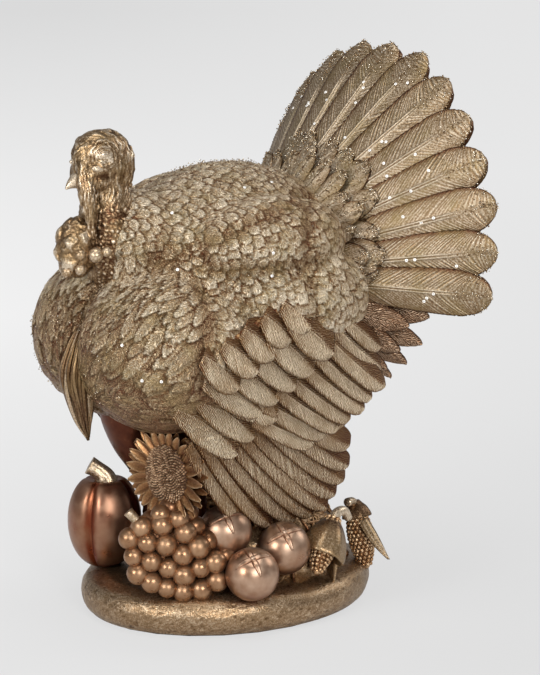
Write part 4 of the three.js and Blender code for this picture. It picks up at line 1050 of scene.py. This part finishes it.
def head_skin(shape):
    """Skull, neck, snood and wattle: wrinkled round the eyes, stranded down the face, pebbled below."""
    forms = Shape()
    necks = [HEAD + (0, 24, -74), HEAD + (0, 8, -52), HEAD + (0, 3, -32), HEAD + (0, 1, -14), HEAD]
    limb(forms, necks, (23, 22, 18.5, 14, 12.6), 24, 32)
    ball(forms, HEAD, (14, 21, 23), 32)
    ball(forms, HEAD + (0, -4, 8), (13, 17, 15), 32)
    snood = [HEAD + stop for stop in ((4, -17, 6), (8, -18, -8), (11, -17, -24), (13, -16, -40))]
    limb(forms, snood, (4, 5.5, 4.5, 2), 20, 20)
    for side in (1, -1):
        ball(forms, HEAD + (side * 7, -9, -4), (8, 10, 9), 24)
        ball(forms, HEAD + (side * 6.5, -7.5, 15), (5.5, 8, 4.5), 20)
        ball(forms, HEAD + (side * 11, -9.5, 2), (4, 6, 4), 20)
    ball(forms, HEAD + WATTLE, WATTLE_HALF, 28)
    points, corners, normals = fused(forms, 0.7, 8)
    local = points - HEAD
    x, y, z = local.T
    sides = np.where(x < 0, -1, 1)
    eye = np.stack([12.0 * sides, np.full(len(local), -7.0), np.full(len(local), 10.0)], 1)
    away = (local - eye) * (0.4, 1, 1)
    from_eye = np.linalg.norm(away, axis=1)
    spoke = np.arctan2(away[:, 2], away[:, 1])
    warp = cloud(points / 4)
    circles = [(from_eye + warp) / 0.9, np.cos(spoke) * 2, np.sin(spoke) * 2 + 9 * sides]
    wrinkles = cloud(np.stack(circles, 1))
    forward = 0.574 * np.abs(x) + 0.819 * y
    gather = 0.35 + 0.65 * ease(-48, 2, z)
    lane = np.hypot((forward + 7) / gather, np.maximum(z - 6, 0)) + 1.3 * warp
    strands = cloud(np.stack([lane / 0.85, z / 9, 5.0 * sides], 1))
    strands = strands + 0.5 * cloud(np.stack([lane / 0.6, z / 4, 7.0 * sides], 1))
    grains = pebbles(points / 2.7)
    near_eye = 1 - ease(8, 13, from_eye)
    neck = (1 - ease(-28, -16, z)) * ease(-9, -1, forward)
    wave = blend(blend(strands, wrinkles, near_eye), 1.2 * (grains - 0.45), neck)
    hung = 1 - ease(1.0, 1.25, np.linalg.norm((local - WATTLE) / WATTLE_HALF, axis=1))
    folds = pebbles((local + 2.5 * warp[:, None]) / (9, 9, 14))
    wave = blend(wave, 0.8 * (folds - 0.4), hung) + 0.12 * cloud(points / 1.2)
    patch = 1 - ease(3.5, 7, from_eye)
    # Painted shade in the crevice under the cheek, which is also sunk into the skin.
    crevice = np.exp(-(((z + 3) / 2) ** 2) - ((y + 9) / 7) ** 2)
    lift = blend(0.4 + 0.75 * wave, 0.7 + 0.5 * wave, patch)
    lift = np.clip(lift - 0.8 * crevice - 0.14 * neck, 0, 1)
    height = blend(0.75, 2.6, hung) * wave * (1 - 0.6 * patch) - 1.4 * crevice
    shape.add(points + normals * height[:, None], [corners], lift)


def face_details(shape):
    """Beak, eyes with their lids, nape bumps and the wattle's beads."""
    beak = [HEAD + stop for stop in ((0, -16, -5.5), (0, -20, -6.5), (0, -24, -8.3), (0, -27, -10.5))]
    limb(shape, beak, (6.4, 4.8, 2.6, 0.5), 16, 20, 0.75)
    for side in (1, -1):
        ball(shape, HEAD + (side * 11.8, -7, 10), (1.5, 2.9, 2.2), 20, 0.85)
        angles = np.linspace(0.3, math.pi - 0.3, 16)
        lid = [HEAD + (side * 13, -7.5 + 4.6 * math.cos(a), 10.4 + 3 * math.sin(a)) for a in angles]
        tube(shape, lid, 0.7 * np.sin(angles), 8, 0.55)
        # A cheek ball, painted light as a highlight on the bulge.
        ball(shape, HEAD + (side * 12.2, -10.5, 1.8), (2.6, 6.0, 2.3), 20, 0.75, (0, 0.2, 1))
    for i in range(11):
        at = HEAD + (2 * (i % 2), 16.3 + 0.5 * (i % 2), 8 - 4.2 * i + random.uniform(-0.6, 0.6))
        ball(shape, at, (2.8, 2.0, random.uniform(1.8, 2.8)), 14, random.uniform(0.3, 0.6))
    beads = [
        (17, -17, -49, 4.6, 0.62),
        (11, -24, -49, 3.7, 0.5),
        (4, -29, -60, 4.0, 0.5),
        (11, -24, -58, 3.6, 0.6),
        (21, -12, -47, 3.0, 0.6),
    ]
    for x, y, z, radius, lift in beads:
        ball(shape, HEAD + (x, y, z), radius, 24, lift)


def build_head():
    shape = Shape()
    head_skin(shape)
    face_details(shape)
    piece("head_and_neck", shape, skin_paint, "gold_skin", "neck_and_head")


build_head()


# Beard: a flat bundle of stiff strands


def build_beard():
    shape = Shape()
    stops = ((-0.04, -3, 3.5), (0.15, -1, 8.0), (0.45, 1.5, 10.4), (0.8, -2, 6.5), (1.0, -6, 1.2))
    strands = 80
    for i in range(strands):
        angle = i * 2.4
        share = math.sqrt((i + 0.5) / strands)
        reach = random.uniform(0.82, 1.0) if share > 0.4 else 1.0
        path = []
        radii = []
        for along, forward, wide in stops:
            out = wide * share
            y = -forward - out * math.sin(angle)
            path.append(BEARD_ROOT + (out * math.cos(angle), y, -along * reach * BEARD_LENGTH))
            radii.append(0.3 + 1.15 * math.sin(math.pi * min(max(along, 0.12), 0.93)))
        limb(shape, path, radii, 24, 7, random.uniform(0.0, 0.62))
    piece("beard_strands", shape, skin_paint, "gold_skin", "beard")


build_beard()


# Legs: smooth thighs on ringed shanks, with jointed toes


def build_leg(name, side):
    foot = np.array([19.5 * side, -38 + 5 * side, 28])
    stops = [(0, 0), (0, 24), (1, 48), (5, 62), (10, 79), (14, 96), (16, 110)]
    steps = 70
    climb = np.linspace(0, 1, steps)
    path = spline([foot + (0, -forward, rise) for forward, rise in stops], steps)
    radii = spline([[5.5], [5], [5.5], [9.5], [15.6], [19], [19]], steps)[:, 0]
    scaled = 1 - ease(0.4, 0.55, climb)
    radii = radii * (1 + 0.06 * scaled * np.cos(np.arange(steps) * TURN / 3))
    shape = Shape()
    shade = blend(0.1, 0.35, ease(0.2, 0.7, climb))[:, None]
    tube(shape, path, radii, 28, shade)
    for degrees in (-38, 0, 38, 180):
        turn = math.radians(degrees)
        out = np.array([math.sin(turn), -math.cos(turn), 0])
        stops = ((0, 5), (6, 5), (11, 3.5), (13, 1))
        toe = [foot + reach * out + (0, 0, rise) for reach, rise in stops]
        bulges = 3 * (1 + 0.12 * np.cos(np.arange(24) * TURN / 6)) * np.linspace(1, 0.35, 24)
        tube(shape, spline(toe, 24), bulges, 12, 0.4)
    piece(name + "_casting", shape, shaded_copper, "copper", name)


build_leg("left_leg", 1)
build_leg("right_leg", -1)


# Plinth: hammered oval with a straw mound


def mound_lump(turn, degrees):
    return MOUND_LUMP * np.sin(7 * turn + 0.07 * degrees) * np.cos(3 * turn - 0.05 * degrees)


def ground_height(x, y):
    """Height of the plinth's top or the mound over a place."""
    edge = (x / PLINTH_HALF[0]) ** 2 + (y / PLINTH_HALF[1]) ** 2
    top = PLINTH_TOP + PLINTH_CROWN * (1 - min(edge, 1))
    far = math.hypot(x / MOUND_HALF[0], (y - MOUND_Y) / MOUND_HALF[1])
    if far >= 1:
        return top
    return max(top, MOUND_FOOT + (MOUND_TOP - MOUND_FOOT) * math.sqrt(1 - far**4))


def build_plinth():
    angles = np.arange(360) / 360 * TURN
    stops = [(5, 0), (1.5, 0.18), (0, 0.42), (0.84, 0.66), (5, 0.88), (PLINTH_SHOULDER, 1.0)]
    rings = []
    for inset, share in spline(stops, 50):
        height = FELT + share * (PLINTH_TOP - FELT)
        rings.append(oval(PLINTH_HALF[0] - inset, PLINTH_HALF[1] - inset, angles, height))
    for share in np.linspace(0.96, 0.1, 36):
        height = PLINTH_TOP + PLINTH_CROWN * float(ease(0, 0.5, 1 - share))
        inner = [(half - PLINTH_SHOULDER) * share for half in PLINTH_HALF]
        rings.append(oval(*inner, angles, height))
    rings = np.array(rings)
    flat = rings.reshape(-1, 3)
    stipple = cloud(flat / 1.3)
    dents = cloud(flat / 4.5)
    lumps = cloud(flat / 13)
    pits = ease(0.3, 0.6, cloud(flat / 2.4 + 50))
    height = 0.16 * stipple + 0.2 * dents + 0.5 * lumps - 0.3 * pits
    height[flat[:, 2] < 3] = 0
    moved = (flat + units(flat - (0, 0, 10)) * height[:, None]).reshape(rings.shape)
    lift = np.clip(0.46 + 0.22 * stipple + 0.12 * dents - 0.3 * pits, 0, 1).reshape(rings.shape[:2])
    shape = Shape()
    loft(shape, moved, lift)

    turns = angles[::2]
    mound = []
    for degrees in [*np.linspace(0, 84, 36), 87, 89]:
        share = math.sqrt(math.cos(math.radians(degrees)))
        z = MOUND_FOOT + (MOUND_TOP - MOUND_FOOT) * math.sin(math.radians(degrees))
        lump = mound_lump(turns, degrees)
        halves = [(half + lump) * share for half in MOUND_HALF]
        mound.append(oval(*halves, turns, z) + (0, MOUND_Y, 0))
    mound = np.array(mound)
    flat = mound.reshape(-1, 3)
    crumbs = pebbles(flat / 5)
    moved = flat + units(flat - (0, MOUND_Y, 0)) * (1.2 * crumbs - 0.9)[:, None]
    loft(shape, moved.reshape(mound.shape), (0.1 + 0.5 * crumbs).reshape(mound.shape[:2]))
    piece("plinth_and_mound", shape, hammered, "bronze_base", "base_plinth")


def build_litter():
    litter = Shape()
    for _ in range(640):
        turn = random.uniform(0, TURN)
        share = math.sqrt(random.uniform(0, 1.05))
        x = MOUND_HALF[0] * share * math.cos(turn)
        y = MOUND_Y + MOUND_HALF[1] * share * math.sin(turn)
        if math.hypot(x / (PLINTH_HALF[0] - 12), y / (PLINTH_HALF[1] - 12)) > 1:
            continue
        if random.uniform() < 0.4:
            at = np.array([x, y, ground_height(x, y)])
            radii = random.uniform(1.2, 2.6, 3)
            ball(litter, at, radii, 8, random.uniform(0.2, 0.7), random.normal(size=3))
            continue
        heading = random.uniform(0, TURN)
        reach = random.uniform(4, 9)
        stops = []
        for step in (-1, -0.3, 0.4, 1):
            px = x + reach * step * math.cos(heading)
            py = y + reach * step * math.sin(heading)
            stops.append(np.array([px, py, ground_height(px, py) + random.uniform(-0.6, 0.9)]))
        thick = random.uniform(0.6, 1.1)
        radii = [0.3 * thick] + [thick] * 8 + [0.3 * thick]
        tube(litter, spline(stops, 10), radii, 6, random.uniform(0.2, 0.9))
    piece("straw_litter", litter, straw_paint, "bronze_base")


build_plinth()
build_litter()


# Pumpkin


def build_pumpkin():
    angles = np.arange(168) / 168 * TURN
    lobe = np.abs(np.sin(2 * (angles - PUMPKIN_TURN)))
    rings = []
    lift = []
    for degrees in np.linspace(-84, 87, 52):
        level = math.radians(degrees)
        radius = (PUMPKIN_RADIUS + 0.6 - 3.2 * (1 - lobe) ** 3) * math.cos(level) ** 0.8
        z = PUMPKIN_HALF_HEIGHT * math.sin(level) - 4.5 * float(ease(55, 87, degrees))
        rings.append(PUMPKIN + oval(radius, radius, angles, z))
        # Lift falls in the grooves between the lobes; the stem's hollow and the bottom get painted
        # shade.
        shade = -0.2 + 0.48 * ease(0, 0.5, lobe) - 0.1 * ease(60, 87, degrees)
        lift.append(shade * blend(0.35, 1, ease(-80, -45, degrees)))
    shape = Shape()
    loft(shape, rings, np.array(lift))
    piece("pumpkin_casting", shape, copper, "copper", "pumpkin")
    stem = Shape()
    foot = PUMPKIN + (0, 0, PUMPKIN_HALF_HEIGHT - 7)
    lean = np.array([-0.57, -0.82, 0])
    path = [foot - lean, foot + 5 * UP, foot + 4 * lean + 9 * UP, foot + 9 * lean + 12 * UP]

    def groove(angle):
        return 0.84 + 0.16 * np.abs(np.cos(2.5 * angle))

    limb(stem, path, (10, 6.6, 5.4, 6.0), 26, 40, 0.6, groove)
    piece("pumpkin_stem_casting", stem, skin_paint, "gold_skin", "pumpkin_stem")


build_pumpkin()


# Sunflower


def build_flower():
    face = unit((math.sin(FLOWER_TURN), -math.cos(FLOWER_TURN), 0.04))
    side, up = square_to(face)
    disc = Shape()
    rings = []
    spokes = [clock_hand(angle, side, up) for angle in np.arange(48) / 48 * TURN]
    shares = (0.7, 1.0, 0.98, 0.86, 0.6, 0.3, 0.08)
    for share, rise in zip(shares, (-2, 0.5, 2, 3.2, 4.2, 4.6, 4.7)):
        rings.append([FLOWER + (FLOWER_DISC + 1) * share * spoke + face * rise for spoke in spokes])
    loft(disc, rings, 0.1)
    seeds = 420
    for i in range(seeds):
        share = math.sqrt((i + 0.5) / seeds)
        spoke = clock_hand(i * GOLDEN_ANGLE, side, up)
        at = FLOWER + 18.2 * share * spoke + face * (5.4 - 2.6 * share**3)
        size = random.uniform(0.6, 0.8)
        ball(disc, at, (size, size, 1.1), 6, random.uniform(0.3, 1.0), face + 0.4 * share * spoke)
    piece("sunflower_seed_disc", disc, seed_paint, "copper", "sunflower_disc")

    petals = Shape()
    u, v = grid(9, 15)
    count = 22
    for row in range(2):
        for i in range(count):
            angle = (i + 0.5 * row) / count * TURN
            direction = clock_hand(angle, side, up)
            across = np.cross(direction, face)
            reach = 9.5 + 8.5 * math.cos(angle) ** 2 + random.uniform(-1, 1) + 1.5 * row
            half = 3.3 * np.sin(math.pi * (0.2 + 0.76 * v)) ** 0.8
            cup = 1.7 * np.abs(u) ** 1.8 * np.sin(math.pi * np.clip(v, 0.05, 0.95))
            crease = 0.7 * np.exp(-((u / 0.22) ** 2)) * (1 - v)
            rise = 2.2 - 2.4 * row + 2.4 * v * v - 0.5 * v
            y = FLOWER_DISC - 0.5 + v * reach
            place = FLOWER + direction * y[..., None] + across * (u * half)[..., None]
            upper = place + face * (cup - crease + rise)[..., None]
            # The back row, seen between the front petals, is painted darker as shade.
            shade = 0.02 + 0.5 * np.abs(u) ** 1.4 + 0.3 * ease(0.3, 1, v) - 0.25 * row
            leaf(petals, upper, face, 1.2, shade)
    back = [FLOWER - face * depth for depth in (1, 4, 7, 10)]
    tube(petals, back, [17, 14, 9, 4], 32, 0.15)
    foot = np.array([FLOWER[0], FLOWER[1], 23])
    tube(petals, spline([FLOWER - face * 6, FLOWER - face * 4 - UP * 24, foot], 20), 4, 16, 0.3)
    piece("sunflower_petal_rings", petals, corn_paint, "gold_skin", "sunflower_petals")


build_flower()


# Grapes


def build_grapes():
    out = np.array([math.sin(BUNCH_FACING), -math.cos(BUNCH_FACING), 0])
    side = np.array([math.cos(BUNCH_FACING), math.sin(BUNCH_FACING), 0])
    shape = Shape()
    for across, up in GRAPES:
        edge = across / 31
        level = up / 24
        bulge = 11 * math.sqrt(max(1 - 0.8 * edge * edge - 0.5 * level * level, 0))
        at = BUNCH + side * across + out * bulge + UP * up
        radius = GRAPE_RADIUS * random.uniform(0.92, 1.08)
        ball(shape, at, radius, 32, 0.5)
        # A grape set back behind each one, painted darker as shade in the gaps.
        ball(shape, at - out * 7 + side * 5.5 + UP * 2, GRAPE_RADIUS, 20, 0.25)
        dimple = at + out * radius * 0.8 - UP * 0.55 * radius
        ball(shape, dimple, (0.7, 0.7, 0.4), 10, 0.15, out - 0.6 * UP)
    piece("grape_cluster", shape, bronze, "pale_bronze", "grape_bunch")
    stalk = Shape()
    foot = BUNCH - side * 18.6 + UP * 18 + out * 7
    tip = foot + 15 * unit((-0.4, -0.55, 0.73))
    tube(stalk, spline([foot, blend(foot, tip, 0.6), tip], 14), np.linspace(2.6, 3.2, 14), 18, 0.6)
    piece("grape_stalk_casting", stalk, skin_paint, "gold_skin", "grape_stalk")


build_grapes()


# Round fruits with a raised four-leaf calyx


def build_fruit(name, centre):
    axis = unit((0.5, -0.32, 0.8))
    side = unit(np.cross(UP, axis) + 0.45 * UP)
    side = unit(side - axis * side.dot(axis))
    other = np.cross(axis, side)
    shape = Shape()
    round_ring = ring(64, side, other)
    rings = []
    lift = []
    for degrees in np.linspace(-86, 86, 40):
        level = math.radians(degrees)
        rise = FRUIT_RADIUS * math.sin(level) - 1.0 * float(ease(65, 90, degrees))
        rings.append(centre + FRUIT_RADIUS * math.cos(level) * round_ring + axis * rise)
        # Painted shade: darker toward the underside.
        lift.append([0.05 + 0.5 * float(ease(-75, 40, degrees))])
    loft(shape, rings, np.array(lift))
    u, v = grid(7, 13)
    for quarter in range(4):
        direction = clock_hand(quarter * TURN / 4, side, other)
        across = np.cross(direction, axis)
        bend = (0.04 + 0.74 * v) + 0 * u
        normal = direction * np.sin(bend)[..., None] + axis * np.cos(bend)[..., None]
        half = 2.1 * np.sin(math.pi * (0.3 + 0.62 * v)) ** 0.7
        ridge = 1.5 * (1 - np.abs(u) ** 1.5) * (1 - 0.3 * v) - 0.8 * np.exp(-((u / 0.25) ** 2))
        base = centre + normal * (FRUIT_RADIUS - 1.1 + 0.8 * ease(0, 0.4, v) + ridge)[..., None]
        shade = 0.1 + 0.75 * (1 - np.abs(u)) - 0.3 * np.exp(-((u / 0.2) ** 2)) + 0 * v
        leaf(shape, base + across * (u * half)[..., None], axis, 1.6, shade)
    ball(shape, centre + axis * (FRUIT_RADIUS - 0.4), (1.6, 1.6, 1.5), 16, 0.75, axis)
    piece(name + "_casting", shape, copper, "copper", name)


for fruit_name, fruit_centre in FRUITS.items():
    build_fruit(fruit_name, fruit_centre)


# Corn: cobs with rounded kernels in flared husks


def cob_radius(share):
    return COB_RADIUS * math.sin(math.pi * (0.12 + 0.7 * share))


def build_cob(name, tip, along):
    side, other = square_to(along)
    cob = Shape()
    shares = np.linspace(0, 1, 24)
    core = [tip + along * COB_LENGTH * share for share in shares]
    tube(cob, core, [cob_radius(share) - 0.5 for share in shares], 24, 0.05)
    rows = 15
    for level in range(rows):
        share = (level + 0.5) / rows
        radius = cob_radius(share)
        count = max(int(TURN * radius / 2.9), 6)
        for i in range(count):
            angle = (i + 0.5 * (level % 2)) / count * TURN
            out = clock_hand(angle, side, other)
            at = tip + along * COB_LENGTH * share + out * radius
            ball(cob, at, (1.45, 1.4, 1.2), 10, random.uniform(0.45, 0.85), out)
    ball(cob, tip + along * 0.5, 2.6, 12, 0.6)
    piece(name + "_kernels", cob, corn_paint, "corn_gold", name)


def husk_leaf(shape, tip, along, degrees, reach, flare, wide):
    """A husk leaf from the butt of a cob, curling away from it."""
    side, other = square_to(along)
    angle = math.radians(degrees)
    out = clock_hand(angle, side, other)
    across = np.cross(out, along)
    u, v = grid(13, 23)
    half = wide * np.sin(math.pi * (0.24 + 0.73 * v)) ** 0.85
    ribs = 0.22 * np.cos(u * 14) * np.sin(math.pi * np.clip(v, 0.02, 0.98))
    climb = flare * v + 3 * v**3 - 3.2 * u * u * (1 - 0.5 * v) + ribs + 1.0
    root = tip + along * (COB_LENGTH * 0.96) + out * 3.2
    place = root - along * (reach * 36 * v)[..., None] + across * (u * half)[..., None]
    shade = 0.42 + 0.7 * ribs + 0.2 * v - 0.15 * u * u
    leaf(shape, place + out * climb[..., None], out, 1.8, shade)


def trumpet(shape, tip, along, stops):
    """The folded sleeve of a husk round a cob, from its inner rim over its mouth to its butt."""
    around = 56
    out = ring(around, *square_to(along))
    folds = 1 + 0.03 * np.cos(7 * (np.arange(around) / around * TURN))[:, None]
    rings = []
    lift = []
    for share, radius in spline(stops, 34):
        rings.append(tip + along * COB_LENGTH * share + radius * folds * out)
        lift.append([0.12 + 0.3 * float(ease(8, 13, radius))])
    loft(shape, rings, np.array(lift))


def build_corn():
    front_tip = np.array([68.0, 21.0, 31.0])
    front_along = unit((-0.29, 0.56, 0.78))
    build_cob("corn_cob_front", front_tip, front_along)
    husk = Shape()
    shares = (0.4, 0.27, 0.25, 0.32, 0.5, 0.7, 0.86, 0.97)
    radii = (8.0, 12.0, 14.0, 14.6, 13.6, 11.0, 7.6, 3.8)
    trumpet(husk, front_tip, front_along, list(zip(shares, radii)))
    husk_leaf(husk, front_tip, front_along, degrees=250, reach=1.0, flare=11, wide=7)
    husk_leaf(husk, front_tip, front_along, degrees=330, reach=0.72, flare=11, wide=8)
    butt = front_tip + 0.92 * COB_LENGTH * front_along
    arch = [butt + stop for stop in ((0, 0, -2), (-2, 5, 4), (-4, 12, 4), (-6, 17, -2))]
    limb(husk, arch, (4.2, 3.3, 3.0, 2.6), 26, 18, 0.75)
    piece("corn_husk_front_leaves", husk, skin_paint, "gold_skin", "corn_husk_front")

    rear_tip = np.array([44.0, 77.0, 19.0])
    rear_along = unit((-0.2, -0.08, 0.97))
    build_cob("corn_cob_rear", rear_tip, rear_along)
    husk = Shape()
    stops = [(0.92, 6.5), (0.86, 8.6), (0.88, 9.4), (1.0, 7.6), (1.08, 5.0), (1.14, 3.2)]
    trumpet(husk, rear_tip, rear_along, stops)
    husk_leaf(husk, rear_tip, rear_along, degrees=70, reach=0.85, flare=19, wide=4.6)
    husk_leaf(husk, rear_tip, rear_along, degrees=200, reach=0.6, flare=12, wide=6)
    butt = rear_tip + 1.08 * COB_LENGTH * rear_along
    stub = [butt + stop for stop in ((0, 0, -2), (1, -3, 2), (3, -8, 3))]
    limb(husk, stub, (3.6, 3.0, 2.8), 14, 16)
    piece("corn_husk_rear_leaves", husk, skin_paint, "gold_skin", "corn_husk_rear")


build_corn()


# Glitter gathered from all the pieces, and the felt pad in its CAD shape

FLAKE_STOPS = [(0.0, (120, 90, 60)), (0.5, (186, 164, 130)), (1.0, (255, 248, 232))]
SEQUIN_STOPS = [(0.0, (90, 66, 50)), (0.4, (206, 206, 204)), (1.0, (255, 250, 242))]
glitter_paint = spark_paint("glitter_paint", FLAKE_STOPS, metal=0.85, rough=0.25)
sequin_paint = spark_paint("sequin_paint", SEQUIN_STOPS, metal=0.2, rough=0.2, coat=0.5)
piece("glitter_flakes", flakes, glitter_paint, "gold_plumage")
piece("glitter_sequins", dots, sequin_paint, "gold_plumage")

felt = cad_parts["felt_pad"]
felt.data.materials.clear()
felt.data.materials.append(felt_cloth())


# Camera at the photograph's viewing angle, its distance in metres

CAMERA_AZIMUTH = math.radians(55)
CAMERA_ELEVATION = math.radians(14)
CAMERA_LENS = 224.2
CAMERA_DISTANCE = 2.6
CAMERA_AIM = Vector((15.9, 22.8, 168.8))


def add_camera():
    data = bpy.data.cameras.new("camera")
    data.sensor_fit = "VERTICAL"
    data.sensor_height = 36
    data.lens = CAMERA_LENS
    data.clip_end = 20
    thing = added("camera", data)
    flat = math.cos(CAMERA_ELEVATION)
    x = math.sin(CAMERA_AZIMUTH) * flat
    y = -math.cos(CAMERA_AZIMUTH) * flat
    toward = Vector((x, y, math.sin(CAMERA_ELEVATION)))
    thing.location = CAMERA_AIM * MM + CAMERA_DISTANCE * toward
    thing.rotation_euler = (-toward).to_track_quat("-Z", "Y").to_euler()
    bpy.context.scene.camera = thing


# Floor and soft studio light


def add_floor():
    """Pale paper that glows to the camera alone, so that it doesn't fade away from the lamps, with
    painted light graded across it; it keeps a soft shadow.
    """
    mesh = bpy.data.meshes.new("floor")
    mesh.from_pydata([(-6, -6, 0), (6, -6, 0), (6, 6, 0), (-6, 6, 0)], [], [(0, 1, 2, 3)])
    graph = Graph("floor_paper")
    place = graph.place()
    measures = []
    across_view = (0.574, 0.819, 0)
    toward_camera = (0.819, -0.574, 0)
    for axis in (across_view, toward_camera):
        along = graph.node("ShaderNodeVectorMath", {0: place, 1: axis}, operation="DOT_PRODUCT")
        measures.append(along.outputs["Value"])
    share = graph.spread(measures[0], 0, 1, -0.2, 0.25)
    depth = graph.spread(measures[1], 0, 1, -2.3, 0.2)
    # Painted light: the paper is lighter on the left than on the right, lightest in the middle distance
    # on the left and darkest near the front on the right.
    left = [(0.04, 226), (0.4, 240), (0.62, 245), (0.86, 232), (0.96, 228)]
    right = [(0.04, 236), (0.4, 236), (0.65, 230), (0.96, 220)]
    sides = []
    for stops in (left, right):
        sides.append(graph.ramp(depth, [(at, (level, level, level)) for at, level in stops]))
    paper = graph.mix(share, *sides)
    glow = graph.node("ShaderNodeEmission", {"Color": paper, "Strength": 1.0})
    seen = graph.math("MULTIPLY", graph.node("ShaderNodeLightPath").outputs["Is Camera Ray"], 0.85)
    inputs = {0: seen, 1: graph.shader.outputs[0], 2: glow.outputs[0]}
    both = graph.node("ShaderNodeMixShader", inputs)
    graph.put(graph.tree.nodes["Material Output"].inputs["Surface"], both.outputs[0])
    mesh.materials.append(graph.finished({"Base Color": paper, "Roughness": 0.9}))
    thing = added("floor", mesh)


def add_lamp(name, place, power, size):
    data = bpy.data.lights.new(name, "AREA")
    data.shape = "DISK"
    data.size = size
    data.energy = power
    thing = added(name, data)
    thing.location = place
    thing.rotation_euler = (Vector((0, 0, 0.17)) - Vector(place)).to_track_quat("-Z", "Y").to_euler()


def add_world():
    world = bpy.data.worlds.new("studio")
    world.use_nodes = True
    soft = world.node_tree.nodes["Background"]
    soft.inputs["Color"].default_value = (0.3, 0.3, 0.31, 1)
    bpy.context.scene.world = world


add_camera()
add_floor()
add_lamp("right_lamp", (2.1, -0.7, 1.0), power=29, size=0.8)
add_lamp("left_lamp", (0.5, -2.2, 1.0), power=26, size=0.8)
add_lamp("top_lamp", (0.3, -0.2, 2.2), power=20, size=1.2)
add_lamp("back_lamp", (0.4, 2.0, 1.3), power=10, size=1.0)
add_world()
bpy.context.scene.view_settings.view_transform = "Standard"
